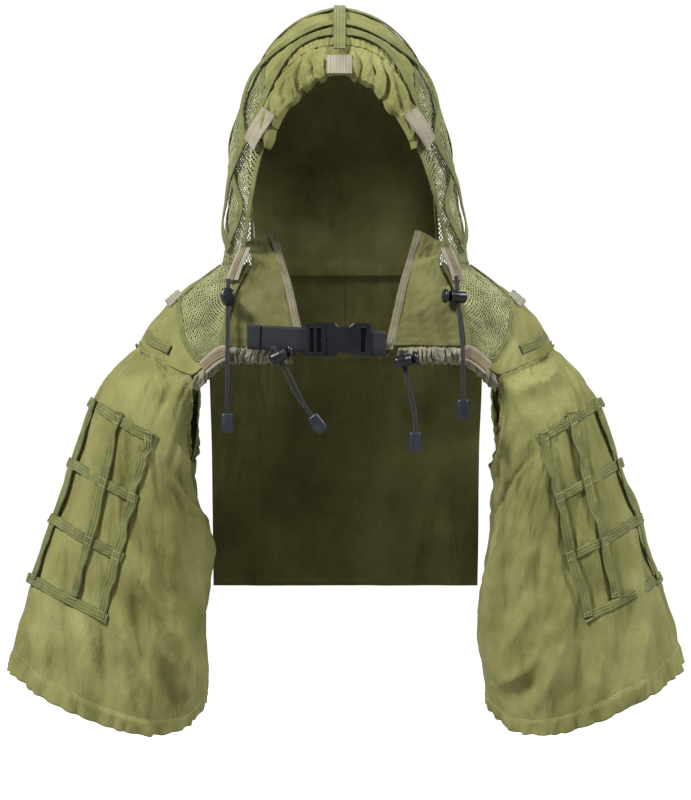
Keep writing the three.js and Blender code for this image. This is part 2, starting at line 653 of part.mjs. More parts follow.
// Prongs: thin arms either side of the guide with the button head that fills the finger notch.
function prong(sign) {
  const points = [[femaleLeft + 0.4, 8], [femaleLeft + 11, 8.6], [femaleLeft + 12.5, halfB - 4.6],
    [femaleLeft + 21.5, halfB - 4.6], [femaleLeft + 23.5, 8.4], [femaleLeft + 12, 5.4], [femaleLeft + 0.4, 5.4]];
  const shaped = points.map(([x, z]) => [x, z * sign]);
  return plate(sign > 0 ? shaped : shaped.reverse(), midY - 2.4, midY + 2.4, 0.4).translate(0, 0, strapZ);
}
addMesh('prong_upper', prong(1), blackPlastic, 0.45);
addMesh('prong_lower', prong(-1), blackPlastic, 0.45);

// A strap seen from above as a bent line of the webbing's thickness, standing strapWidth high.
function bentStrap(line, thick, low, high) {
  const front = line.map(([x, y]) => new THREE.Vector2(x, y - thick / 2));
  const back = line.map(([x, y]) => new THREE.Vector2(x, y + thick / 2)).reverse();
  const shape = new THREE.Shape([...front, ...back]);
  return new THREE.ExtrudeGeometry(shape, { depth: high - low, bevelEnabled: false }).translate(0, 0, low);
}

// Right strap: sewn end with its folded tail on the casing, then flat to the ladder bars.
const halfStrap = strapWidth / 2;
const sewnEnd = -98;
const rightStrap = joined([
  bentStrap([[sewnEnd + 2, -118.5], [-75, -124.2], [-56, midY], [maleLeft - 0.4, midY]], strapThick,
    strapZ - halfStrap, strapZ + halfStrap),
  bentStrap([[sewnEnd, -119], [sewnEnd + 12, -121.6]], 4, strapZ - halfStrap + 0.4, strapZ + halfStrap + 0.6),
]);
addMesh('chest_strap_right', rightStrap, blackPlastic, 0.8);
// Left strap: from the housing back under the edge of the neck flap.
addMesh('chest_strap_left', bentStrap([[femaleRight + 0.4, midY], [31, midY + 1.2], [39.2, -121.4]], strapThick,
  strapZ - halfStrap, strapZ + halfStrap), blackPlastic, 0.8);

// ---------- cords and cord locks ----------
function tube(points, diameter, sides, steps) {
  const path = new THREE.CatmullRomCurve3(points.map(([x, y, z]) => vec(x, y, z)));
  const shape = new THREE.Shape();
  for (let i = 0; i < sides; i += 1) {
    const a = (i / sides) * 2 * Math.PI;
    const r = diameter / 2 / Math.cos(Math.PI / sides);
    if (i === 0) shape.moveTo(r * Math.cos(a), r * Math.sin(a));
    else shape.lineTo(r * Math.cos(a), r * Math.sin(a));
  }
  shape.closePath();
  return new THREE.ExtrudeGeometry(shape, { steps, bevelEnabled: false, extrudePath: path });
}

// One set: cord from its exit, barrel and plunger on it, moulded end at the bottom.
// at = barrel centre, button = direction the plunger points, run = direction of the cord through the barrel.
function cordSet(name, route, at, button, run) {
  const r = vec(...run).normalize();
  const b = vec(...button).projectOnPlane(r).normalize();
  const turn = new THREE.Matrix4().makeBasis(b.clone().cross(r), b, r);
  turn.setPosition(at[0], at[1], at[2]);
  const outer = new THREE.CylinderGeometry(barrelDiameter / 2, barrelDiameter / 2 - 0.6, barrelLength, 14);
  const bore = new THREE.CylinderGeometry(plungerDiameter / 2 + 0.4, plungerDiameter / 2 + 0.4, barrelLength, 10);
  bore.translate(0, 3, 0);
  const hole = new THREE.CylinderGeometry(3.2, 3.2, 40, 8).rotateX(Math.PI / 2);
  const barrel = solid(outer).subtract(solid(bore)).subtract(solid(hole));
  addMesh(`lock_${name}`, geometryOf(barrel).applyMatrix4(turn), blackPlastic, 0.5);
  const stem = new THREE.CylinderGeometry(plungerDiameter / 2, plungerDiameter / 2, barrelLength - 2, 10);
  stem.translate(0, 5.8, 0);
  const head = new THREE.CylinderGeometry(headDiameter / 2 - 1, headDiameter / 2, headLength, 14);
  head.translate(0, barrelLength / 2 + headLength / 2 + plungerTravel + 0.4, 0);
  const window = new THREE.BoxGeometry(6, 9, 40).translate(0, plungerTravel / 2, 0);
  const stemBody = solid(stem).add(solid(head)).subtract(solid(window));
  addMesh(`plunger_${name}`, geometryOf(stemBody).applyMatrix4(turn), blackPlastic, 0.45);
  addMesh(`cord_${name}`, tube(route, cordDiameter, 8, Math.max(12, route.length * 3)), cordTone, 0.8);
  const last = vec(...route[route.length - 1]);
  const before = vec(...route[route.length - 2]);
  const down = last.clone().sub(before).normalize();
  const capTurn = new THREE.Matrix4().makeRotationFromQuaternion(
    new THREE.Quaternion().setFromUnitVectors(vec(0, -1, 0), down));
  const profile = [[0, -endLength / 2], [endBottom / 2 - 1.5, -endLength / 2], [endBottom / 2, -endLength / 2 + 1.5],
    [endTop / 2 + 0.6, endLength / 2 - 2], [endTop / 2, endLength / 2], [0, endLength / 2]];
  const cap = new THREE.LatheGeometry(profile.map(([x, y]) => new THREE.Vector2(x, y)), 10);
  cap.applyMatrix4(capTurn);
  const centre = last.clone().addScaledVector(down, endLength / 2 + 0.3);
  cap.translate(centre.x, centre.y, centre.z);
  addMesh(`cord_end_${name}`, cap, endTone, 0.5);
}

// Front of the chest at (x, z): the yoke down to the casing, and the casing's face below that.
function chestFront(x, z) {
  let low = 10;
  let high = 80;
  let p = yokePoint(45, 1);
  for (let i = 0; i < 24; i += 1) {
    const psi = (low + high) / 2;
    p = yokePoint(psi, clamp01((ringZ - z) / along(dropStations, psi)));
    if (p.x < Math.abs(x)) low = psi;
    else high = psi;
  }
  return p.y - lerp(cloth, casingPuff, smooth(-36, -48, z));
}

// A hood cord comes straight down the slope of the chest, goes over the casing and hangs.
function hoodRoute(x0, x1, topZ, endZ, lockProud, kneeProud) {
  const kneeZ = -56;
  const start = [x0, chestFront(x0, topZ) - lockProud, topZ];
  const knee = [x1, chestFront(x1, -60) - kneeProud, kneeZ];
  const points = [];
  for (let i = 0; i < 6; i += 1) {
    const t = i / 5.6;
    points.push(start.map((k, j) => lerp(k, knee[j], t)));
  }
  for (let i = 0; i <= 4; i += 1) points.push([x1, knee[1] - 1.5, lerp(kneeZ - 10, endZ, i / 4)]);
  return points;
}

const rightRoute = hoodRoute(-119, -119, 20, -116, 30, 10.6);
const leftRoute = hoodRoute(112.5, 118.5, 23, -102, 22, 8.4);
const middleOf = (route, i) => route[i].map((k, j) => (k + route[i + 1][j]) / 2);
const runOf = (route, i) => route[i + 1].map((k, j) => k - route[i][j]);
cordSet('hood_right', rightRoute, middleOf(rightRoute, 1), [0, -1, 0.2], runOf(rightRoute, 1));
cordSet('hood_left', leftRoute, middleOf(leftRoute, 1), [-1, -0.45, -0.2], runOf(leftRoute, 1));

// The right chest lock hangs in front of the strap, so its cord comes out below the strap and turns over.
const below = strapZ - strapWidth / 2 - 5.5;
cordSet('chest_right', [[-72.5, -123.2, below], [-72.7, -126.4, below + 2.1], [-73, -130.2, below + 5.5], [-73.2, -134.6, -51],
  [-72.6, -138.6, -49.9], [-70.6, -140, -52.4], [-67, -140, -59.5], [-63.4, -140, -66.6], [-59.8, -140, -73.7],
  [-56.2, -140, -80.9], [-52.6, -139.4, -88.5], [-48, -138.2, -97.5], [-42.5, -136.8, -107], [-34, -135, -118.5]],
[-67, -140, -59.5], [0.89, 0, 0.45], [0.45, 0, -0.89]);
const lockY = chestFront(58, -58) - barrelDiameter / 2 - 2.5;
cordSet('chest_left', [[55.5, lockY, -53], [58, lockY, -64], [60.5, lockY, -75], [62.5, lockY, -84], [65.5, lockY, -97],
  [68.3, lockY, -110], [70, lockY, -122], [70, lockY, -135]],
[58, lockY, -64], [1, 0, 0.25], [0.22, 0, -1]);

export default group;
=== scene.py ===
# Ghillie hood and cape: olive cotton, knitted net, ribbed webbing, black moulded fittings.
# Surfaces are worked out in millimetres and put into the meshes in metres.
import math

import bmesh
import bpy
import numpy as np
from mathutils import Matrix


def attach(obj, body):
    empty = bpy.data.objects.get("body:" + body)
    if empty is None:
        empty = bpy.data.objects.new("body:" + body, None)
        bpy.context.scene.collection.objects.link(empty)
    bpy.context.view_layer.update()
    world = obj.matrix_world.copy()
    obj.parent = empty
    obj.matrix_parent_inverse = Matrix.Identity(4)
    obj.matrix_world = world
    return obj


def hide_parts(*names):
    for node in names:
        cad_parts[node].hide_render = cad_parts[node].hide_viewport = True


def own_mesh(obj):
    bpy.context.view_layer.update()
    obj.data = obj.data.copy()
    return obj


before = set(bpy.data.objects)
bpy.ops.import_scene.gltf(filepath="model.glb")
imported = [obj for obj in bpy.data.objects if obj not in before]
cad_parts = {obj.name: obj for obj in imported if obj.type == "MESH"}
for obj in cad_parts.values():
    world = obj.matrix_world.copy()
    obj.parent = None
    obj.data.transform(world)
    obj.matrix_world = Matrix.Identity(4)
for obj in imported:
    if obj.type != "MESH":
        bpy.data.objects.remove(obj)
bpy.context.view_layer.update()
deg = math.pi / 180
scene = bpy.context.scene

# the cut of the garment, as in the CAD model
cut = {
    "cloth": 2.4, "hoodHalf": 119.0, "hoodFront": 136.0, "hoodBack": 128.0, "hoodMidZ": 100.0,
    "hoodRise": 203.0, "hoodFootZ": 38.8, "bandHalf": 76.0, "backWide": 96.0, "brimZ": 226.0,
    "brimDrop": 74.0, "brimSeamZ": 257.0, "brimSeamDrop": 58.0, "backStart": 112 * deg,
    "ringHalf": 130.0, "ringFront": 106.0, "ringBack": 112.0, "ringZ": 36.0, "shoulderOut": 84.0,
    "chestOut": 14.0, "backLength": 245.0, "sleeveDepth": 100.0, "hoodLean": 6.0, "strapZ": -42.5,
}


# eased steps, smooth lines, waves and pleats
def smooth(a, b, t):  # eased step from 0 at a to 1 at b: 3k^2 - 2k^3
    k = np.clip((t - a) / (b - a), 0, 1)
    return k * k * (3 - 2 * k)


def mix(a, b, t):  # a at t = 0, b at t = 1, straight between
    return a + (b - a) * t


def stations(keys, values, t):  # smooth line through (key, value) pairs, part straight and part eased
    keys = np.asarray(keys, float)
    values = np.asarray(values, float)
    t = np.asarray(t, float)
    i = np.clip(np.searchsorted(keys, t, side="right") - 1, 0, len(keys) - 2)
    k = np.clip((t - keys[i]) / (keys[i + 1] - keys[i]), 0, 1)
    return mix(values[i], values[i + 1], 0.6 * k + 0.4 * k * k * (3 - 2 * k))


def throughPoints(points, t):  # Catmull-Rom line through the points, t from 0 to 1
    p = np.asarray(points, float)
    p = np.vstack([2 * p[0] - p[1], p, 2 * p[-1] - p[-2]])
    s = np.clip(np.asarray(t, float), 0, 1) * (len(p) - 3)
    i = np.minimum(s.astype(int), len(p) - 4)
    k = (s - i)[..., None]
    a, b, c, d = p[i], p[i + 1], p[i + 2], p[i + 3]
    return 0.5 * (2 * b + (c - a) * k + (2 * a - 5 * b + 4 * c - d) * k**2 + (3 * b - a - 3 * c + d) * k**3)


def softNoise(x, y, size, seed, octaves=3):  # sum of turned sine waves, about -1 to 1, waves `size` long
    rng = np.random.default_rng(seed)
    total = np.zeros(np.broadcast(x, y).shape)
    weight = 0.0
    for octave in range(octaves):
        for _ in range(5):
            angle, phase, stretch = rng.uniform(0, 2 * math.pi), rng.uniform(0, 6.28), rng.uniform(0.7, 1.4)
            k = 2 * math.pi * (1.9**octave) * stretch / size
            total = total + 0.62**octave * np.sin(k * (x * math.cos(angle) + y * math.sin(angle)) + phase)
        weight += 0.62**octave * 2.2
    return total / weight


def pleat(t, count, seed, sharp=1.6):  # uneven pleats along t: rounded crests with narrow valleys between
    rng = np.random.default_rng(seed)
    bend = sum(
        rng.uniform(0.25, 0.5) / (i + 1) * np.sin((i + 1) * t * 2 * math.pi + rng.uniform(0, 6.28))
        for i in range(4)
    )
    wave = 0.5 + 0.5 * np.sin(2 * math.pi * count * t + 2.2 * bend)
    tall = 0.72 + 0.28 * np.sin(2 * math.pi * t * count * 0.37 + rng.uniform(0, 6.28))
    return (1 - (1 - wave) ** sharp) * tall


# the garment's surfaces in millimetres, all worked out as whole arrays
def hoodHalfAt(z):  # half width: a half ellipse above hoodMidZ, below it a slope that flares at the foot
    k = np.clip((z - cut["hoodMidZ"]) / cut["hoodRise"], -1, 1)
    dome = cut["hoodHalf"] * np.sqrt(np.maximum(0, 1 - k * k))
    skirt = cut["hoodHalf"] + (cut["hoodMidZ"] - z) * 0.12 + 5 * np.clip((60 - z) / 48, 0, 1) ** 2
    return np.where(z >= cut["hoodMidZ"], dome, skirt)


def hoodPoint(psi, z):  # half ellipsoid over a slowly flaring skirt; psi from the front, round to the back
    w = hoodHalfAt(z)
    shrink = smooth(110, 38, z)
    depth = np.where(np.cos(psi) > 0, cut["hoodFront"] - 30 * shrink, cut["hoodBack"] - 16 * shrink)
    y = -(depth / cut["hoodHalf"]) * np.minimum(w, cut["hoodHalf"]) * np.cos(psi)
    return np.stack([w * np.sin(psi), y, z + 0 * psi], -1)


def crownPoint(x, beta):  # the same ellipsoid, x across and beta from the brim over the top to the back
    k = np.sqrt(np.maximum(0, 1 - (x / cut["hoodHalf"]) ** 2))
    depth = np.where(np.cos(beta) > 0, cut["hoodFront"], cut["hoodBack"])
    z = cut["hoodMidZ"] + cut["hoodRise"] * k * np.sin(beta)
    return np.stack([x + 0 * beta, -depth * k * np.cos(beta), z], -1)


def betaAt(x, z):  # the turn over the head at which the crown is as high as z
    k = np.sqrt(1 - (x / cut["hoodHalf"]) ** 2)
    return np.arcsin((z - cut["hoodMidZ"]) / (cut["hoodRise"] * k))


def brimEdgeZ(x):  # the brim's free edge, falling as a power of the distance from the middle
    return cut["brimZ"] - cut["brimDrop"] * (np.abs(x) / cut["bandHalf"]) ** 2.1


def brimSeamZ(x):  # its seam with the crown, falling the same way
    return cut["brimSeamZ"] - cut["brimSeamDrop"] * (np.abs(x) / cut["bandHalf"]) ** 2.6


def backHalfAt(z):  # half width of the cloth at the back, narrowing upwards in one eased step
    return mix(cut["backWide"], cut["bandHalf"], smooth(150, 246, z))


def backHalfOn(beta):  # the same edge found by its turn over the head instead of its height
    half = cut["bandHalf"] + 0 * beta
    for _ in range(16):
        k = np.sqrt(1 - (half / cut["hoodHalf"]) ** 2)
        half = mix(half, backHalfAt(cut["hoodMidZ"] + cut["hoodRise"] * k * np.sin(beta)), 0.6)
    return half


def faceX(z):  # the net's front edge beside the face
    return cut["bandHalf"] + 31 * np.clip((cut["brimZ"] - cut["brimDrop"] - z) / 124, 0, 1) ** 0.8


def yokePoint(psiDeg, t):  # from the neck ring outwards and down; t from 0 at the ring to 1 at the seam
    psi = psiDeg * deg
    depth = np.where(np.cos(psi) > 0, cut["ringFront"], cut["ringBack"])
    out = cut["chestOut"] + (cut["shoulderOut"] - cut["chestOut"]) * np.abs(np.sin(psi)) ** 3
    bulge = t + 0.16 * np.sin(math.pi * t)
    drop = stations([0, 45, 57, 72, 90, 108, 123, 140, 180], [84, 85, 114, 98, 80, 98, 110, 98, 96], psiDeg)
    x = np.sin(psi) * (cut["ringHalf"] + out * bulge)
    y = -np.cos(psi) * (depth + out * bulge)
    return np.stack([x, y, cut["ringZ"] - drop * t], -1)


# the sleeve's two side lines as (x, z)
outerSide = [
    (215, -47), (230, -60), (247, -80), (262, -107), (283, -165), (301, -222), (320, -278), (337, -330), (350, -378),
]
innerSide = [
    (163, -172), (159, -198), (154, -235), (150, -272), (147, -312), (146, -350), (148, -385), (152, -418),
]


def armholePoint(omega):  # the sleeve's top ring: along the yoke above, down to the armpit below
    a = np.abs(omega)
    up = np.clip(omega, -90, 90)
    p = yokePoint(90 - up / 90 * 32.5, np.ones_like(up))
    p[..., 0] += 1.9 * np.cos(up * deg)
    p[..., 2] -= 3.2
    k = np.clip((a - 90) / 90, 0, 1)
    s, c = np.sin(k * math.pi / 2), np.cos(k * math.pi / 2)
    p[..., 2] = mix(p[..., 2] - 3 * np.sin(k * math.pi), innerSide[0][1], s)
    p[..., 0] = mix(p[..., 0], innerSide[0][0], s * s)
    p[..., 1] = p[..., 1] * c
    return p


def sleevePoint(omega, s):  # ellipses from the outer side line to the inner one, blended into the armhole
    a = throughPoints(outerSide, s)
    b = throughPoints(innerSide, s)
    c, n = np.cos(omega * deg), np.sin(omega * deg)
    x = mix(b[..., 0], a[..., 0], 0.5 + 0.5 * c)
    z = mix(b[..., 1], a[..., 1], 0.5 + 0.5 * c)
    frontDrop = 34 * smooth(0.35, 1, s) * np.maximum(0, n) * (1 - 0.5 * c)
    backDrop = 20 * smooth(0.4, 1, s) * np.maximum(0, -n)
    z = z - frontDrop - backDrop
    p = np.stack([x, -cut["sleeveDepth"] * n, z], -1)
    return mix(armholePoint(omega), p, smooth(0, 0.24, s)[..., None])


# grids of points made into cloth, tape and stitches
def gridNormals(p, closed=False):  # unit normals of a grid of points by differences along both ways
    if closed:
        du = np.roll(p, -1, 0) - np.roll(p, 1, 0)
    else:
        du = np.gradient(p, axis=0)
    dv = np.gradient(p, axis=1)
    n = np.cross(du, dv)
    return n / np.maximum(np.linalg.norm(n, axis=-1, keepdims=True), 1e-9)


def facing(p, n, inside):  # turns the normals away from a point inside
    flip = np.sum((p - np.asarray(inside, float)) * n) < 0
    return -n if flip else n


def newObject(name, verts, faces, loopUv=None):  # verts and uv in millimetres, uv one pair per face corner
    mesh = bpy.data.meshes.new(name)
    faces = faces.tolist() if isinstance(faces, np.ndarray) else faces
    verts = np.array(verts, float)
    verts[:, 0] -= cut["hoodLean"] * smooth(45, 190, verts[:, 2])
    mesh.from_pydata((verts / 1000).tolist(), [], faces)
    if loopUv is not None:
        layer = mesh.uv_layers.new(name="UVMap")
        layer.data.foreach_set("uv", (np.asarray(loopUv, float) / 1000).astype(np.float32).ravel())
    mesh.polygons.foreach_set("use_smooth", np.ones(len(mesh.polygons), bool))
    mesh.update()
    obj = bpy.data.objects.new(name, mesh)
    scene.collection.objects.link(obj)
    return obj


def gridFaces(nu, nv, closed=False):  # four corners for each square of the grid, round again when closed
    i = np.arange(nu if closed else nu - 1)
    j = np.arange(nv - 1)
    ii, jj = np.meshgrid(i, j, indexing="ij")
    a = ii * nv + jj
    b = ((ii + 1) % nu) * nv + jj
    return np.stack([a, b, b + 1, a + 1], -1).reshape(-1, 4)


def gridLengths(p, closed=False):  # arc lengths along the middle column and row, in millimetres
    middle = p[:, p.shape[1] // 2]
    if closed:
        middle = np.vstack([middle, middle[:1]])
    across = np.concatenate([[0], np.cumsum(np.linalg.norm(np.diff(middle, axis=0), axis=1))])
    down = np.concatenate([[0], np.cumsum(np.linalg.norm(np.diff(p[p.shape[0] // 2], axis=0), axis=1))])
    return across, down


def gridLoopUv(p, closed=False):  # a uv pair for each corner of each face of gridFaces
    across, down = gridLengths(p, closed)
    i, j = np.meshgrid(np.arange(len(across) - 1), np.arange(len(down) - 1), indexing="ij")
    corners = [(i, j), (i + 1, j), (i + 1, j + 1), (i, j + 1)]
    return np.stack([np.stack([across[a], down[b]], -1) for a, b in corners], -2).reshape(-1, 4, 2)


def gridArea(p, closed=False):  # area of the grid's faces, in square metres
    q = np.concatenate([p, p[:1]]) if closed else p
    d1 = q[1:, 1:] - q[:-1, :-1]
    d2 = q[:-1, 1:] - q[1:, :-1]
    return float(np.linalg.norm(np.cross(d1, d2), axis=-1).sum() / 2e6)


def clothPiece(name, p, material, nodes, inside, thick=1.2, closed=False,
               body="root", insideShadeMaterial=None):
    # a sheet from a grid of points, wound to face away from inside, thickened inwards, its cut size worked out
    faces = gridFaces(*p.shape[:2], closed)
    loopUv = gridLoopUv(p, closed)
    if np.sum((p - np.asarray(inside, float)) * gridNormals(p, closed)) < 0:
        faces = faces[:, ::-1]
        loopUv = loopUv[:, ::-1]
    obj = newObject(name, p.reshape(-1, 3), faces, loopUv)
    wall = obj.modifiers.new("wall", "SOLIDIFY")
    wall.thickness = thick / 1000
    wall.offset = -1
    wall.use_even_offset = False
    finishPiece(obj, material, nodes, body)
    # the inside faces take the darker twill in a second slot: painted shade
    if insideShadeMaterial:
        obj.data.materials.append(insideShadeMaterial)
        wall.material_offset = 1
    declareSheet(p, closed)
    return obj


def declareSheet(p, closed=False):  # cut size from the middle lines, area from the faces
    across, down = gridLengths(p, closed)
    area = gridArea(p, closed)
    width, length = across[-1] / 1000, down[-1] / 1000
    if area > width * length:
        width = area / length


def finishPiece(obj, material, nodes, body="root"):  # finish, body, CAD nodes it stands for, slot
    obj.data.materials.append(material)
    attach(obj, body)
    if nodes:
        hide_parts(*nodes)


def tapePoints(line, normal, width, thick, ribs=3, lift=0.0):
    # a tape's section, flat below and ribbed above, carried along a line with the cloth's normals
    ahead = np.gradient(line, axis=0)
    ahead /= np.linalg.norm(ahead, axis=1, keepdims=True)
    side = np.cross(normal, ahead)
    side /= np.linalg.norm(side, axis=1, keepdims=True)
    up = np.cross(ahead, side)
    t = np.linspace(-1, 1, 4 * max(ribs, 3) + 1)
    crown = thick * (0.86 + (0.14 if ribs else 0.02) * np.cos(t * ribs * math.pi)) * (1 - 0.5 * np.abs(t) ** 12)
    top = np.stack([t * width / 2, crown], -1)
    bottom = np.stack([np.linspace(1, -1, 3) * (width / 2 - 0.15), np.zeros(3)], -1)
    section = np.vstack([top, bottom])
    lift = np.broadcast_to(np.asarray(lift, float), (len(line),))
    p = line[:, None] + side[:, None] * section[None, :, :1] + up[:, None] * (section[None, :, 1:] + lift[:, None, None])
    return p, section


def tapeMesh(line, normal, width, thick, ribs=3, lift=0.0):  # points, faces and face-corner uv of one tape
    p, section = tapePoints(line, normal, width, thick, ribs, lift)
    nu, nv = p.shape[:2]
    i, j = np.meshgrid(np.arange(nu - 1), np.arange(nv), indexing="ij")
    a, b, c, d = i * nv + j, (i + 1) * nv + j, (i + 1) * nv + (j + 1) % nv, i * nv + (j + 1) % nv
    faces = np.stack([a, d, c, b], -1).reshape(-1, 4)
    along = np.concatenate([[0], np.cumsum(np.linalg.norm(np.diff(line, axis=0), axis=1))])
    over = section[:, 0] + width / 2
    girth = np.concatenate([over, over[:1]])
    corners = [(i, j), (i, j + 1), (i + 1, j + 1), (i + 1, j)]
    uv = np.stack([np.stack([along[x], girth[y]], -1) for x, y in corners], -2)
    ends = [list(range(nv)), [(nu - 1) * nv + k for k in range(nv)][::-1]]
    endUv = [[(along[0], k) for k in over], [(along[-1], k) for k in over][::-1]]
    return p.reshape(-1, 3), faces.tolist() + ends, np.vstack([uv.reshape(-1, 2), *[np.array(e) for e in endUv]])


def joinMeshes(parts):  # several meshes as one: each one's face numbers start after the last one's points
    verts, faces, uvs, start = [], [], [], 0
    for v, f, uv in parts:
        verts.append(v)
        uvs.append(uv)
        faces += [[k + start for k in face] for face in f]
        start += len(v)
    return np.vstack(verts), faces, np.vstack(uvs)


def tapePiece(name, tapes, material, nodes, body="root"):  # one or more tapes as one piece
    obj = newObject(name, *joinMeshes([tapeMesh(**t) for t in tapes]))
    finishPiece(obj, material, nodes, body)
    return obj


def stitchRow(name, lines, material, body="root", pitch=3.4, length=2.3, radius=0.32):
    # each stitch is an eight-sided spindle lying along the line, on the cloth's outward normal
    verts, faces, start = [], [], 0
    base = np.array([[0, 2, 3], [0, 3, 4], [0, 4, 5], [0, 5, 2], [1, 3, 2], [1, 4, 3], [1, 5, 4], [1, 2, 5]])
    for line, normal in lines:
        run = np.concatenate([[0], np.cumsum(np.linalg.norm(np.diff(line, axis=0), axis=1))])
        at = np.arange(pitch / 2, run[-1], pitch)
        c = np.stack([np.interp(at, run, line[:, k]) for k in range(3)], -1)
        n = np.stack([np.interp(at, run, normal[:, k]) for k in range(3)], -1)
        e = np.stack([
            np.interp(at + 0.1, run, line[:, k]) - np.interp(at - 0.1, run, line[:, k]) for k in range(3)
        ], -1)
        e /= np.linalg.norm(e, axis=1, keepdims=True)
        n /= np.linalg.norm(n, axis=1, keepdims=True)
        s = np.cross(n, e)
        tips = [c - e * length / 2, c + e * length / 2]
        v = np.stack(tips + [c + s * radius, c + n * radius, c - s * radius, c - n * radius], 1)
        verts.append(v.reshape(-1, 3))
        faces.append((base[None] + 6 * np.arange(len(at))[:, None, None]).reshape(-1, 3) + start)
        start += 6 * len(at)
    obj = newObject(name, np.vstack(verts), np.vstack(faces))
    finishPiece(obj, material, (), body)
    return obj


# small helpers for the materials
def linear(hexColour):  # sRGB hex to linear: c/12.92 low down, ((c + 0.055)/1.055)^2.4 above
    c = np.array([int(hexColour[i:i + 2], 16) for i in (1, 3, 5)]) / 255
    c = np.where(c <= 0.04045, c / 12.92, ((c + 0.055) / 1.055) ** 2.4)
    return (*c.tolist(), 1.0)


def addNode(tree, kind, settings=None, links=None, **inputs):
    # one node: settings are its attributes, inputs its socket values, links {its socket: (node, socket)}
    node = tree.nodes.new(kind)
    for key, value in (settings or {}).items():
        setattr(node, key, value)
    for key, value in inputs.items():
        node.inputs[key.replace("_", " ")].default_value = value
    for key, (source, socket) in (links or {}).items():
        tree.links.new(source.outputs[socket], node.inputs[key])
    return node


def startMaterial(name, roughness, **sockets):  # a material with its shader and its texture coordinates
    mat = bpy.data.materials.new(name)
    mat.use_nodes = True
    tree = mat.node_tree
    shader = tree.nodes["Principled BSDF"]
    shader.inputs["Roughness"].default_value = roughness
    for key, value in sockets.items():
        shader.inputs[key.replace("_", " ")].default_value = value
    place = tree.nodes.new("ShaderNodeTexCoord")
    return mat, tree, shader, place


def colourRamp(tree, source, socket, stops):  # colours by position, straight between the stops
    ramp = addNode(tree, "ShaderNodeValToRGB", links={"Fac": (source, socket)})
    ramp.color_ramp.elements[0].position = stops[0][0]
    ramp.color_ramp.elements[0].color = linear(stops[0][1])
    ramp.color_ramp.elements[1].position = stops[-1][0]
    ramp.color_ramp.elements[1].color = linear(stops[-1][1])
    for position, colour in stops[1:-1]:
        ramp.color_ramp.elements.new(position).color = linear(colour)
    return ramp


wavesPerMetre = 314  # a wave texture of this scale repeats every millimetre


def wovenCloth(name, dark, mid, light, threadMm=1.3, bump=0.14, sheen=0.04):
    # washed cotton twill: matt, faint diagonal ribs, cloudy fading where it was dyed and creased;
    # the ribs are drawn about twice as coarse as real thread, so that they show
    mat, tree, shader, place = startMaterial(name, 0.92, Sheen_Weight=sheen, Sheen_Roughness=0.5,
                                             Specular_IOR_Level=0.2)
    clouds = addNode(tree, "ShaderNodeTexNoise", links={"Vector": (place, "Object")},
                     Scale=14.0, Detail=5.0, Roughness=0.62)
    ramp = colourRamp(tree, clouds, "Fac", [(0.3, dark), (0.5, mid), (0.72, light)])
    fleck = addNode(tree, "ShaderNodeTexNoise", links={"Vector": (place, "Object")}, Scale=900.0, Detail=2.0)
    fleckMix = addNode(tree, "ShaderNodeMix", {"data_type": "RGBA", "blend_type": "MULTIPLY"}, Factor=0.22)
    grey = colourRamp(tree, fleck, "Fac", [(0.3, "#a8a8a8"), (0.7, "#ffffff")])
    tree.links.new(ramp.outputs["Color"], fleckMix.inputs[6])
    tree.links.new(grey.outputs["Color"], fleckMix.inputs[7])
    tree.links.new(fleckMix.outputs[2], shader.inputs["Base Color"])
    turn = addNode(tree, "ShaderNodeMapping", links={"Vector": (place, "UV")})
    turn.inputs["Rotation"].default_value = (0, 0, 0.9)
    twill = addNode(tree, "ShaderNodeTexWave", links={"Vector": (turn, "Vector")},
                    Scale=wavesPerMetre / threadMm, Distortion=2.5, Detail=2.0)
    fall = addNode(tree, "ShaderNodeMapping", links={"Vector": (place, "Object")})
    fall.inputs["Scale"].default_value = (1.0, 1.0, 0.36)
    fall.inputs["Rotation"].default_value = (0, 0.22, 0)
    soft = addNode(tree, "ShaderNodeTexNoise", links={"Vector": (fall, "Vector")},
                   Scale=34.0, Detail=5.0, Roughness=0.55, Distortion=0.4)
    ridges = addNode(tree, "ShaderNodeTexNoise", {"noise_type": "RIDGED_MULTIFRACTAL"},
                     links={"Vector": (fall, "Vector")}, Scale=15.0, Detail=2.0, Roughness=0.45, Distortion=0.8)
    weaveBump = addNode(tree, "ShaderNodeBump", links={"Height": (twill, "Fac")}, Strength=bump, Distance=0.00025)
    creaseBump = addNode(tree, "ShaderNodeBump", links={"Height": (soft, "Fac"), "Normal": (weaveBump, "Normal")},
                         Strength=0.7, Distance=0.010)
    ridgeBump = addNode(tree, "ShaderNodeBump", links={"Height": (ridges, "Fac"), "Normal": (creaseBump, "Normal")},
                        Strength=0.6, Distance=0.005)
    tree.links.new(ridgeBump.outputs["Normal"], shader.inputs["Normal"])
    return mat


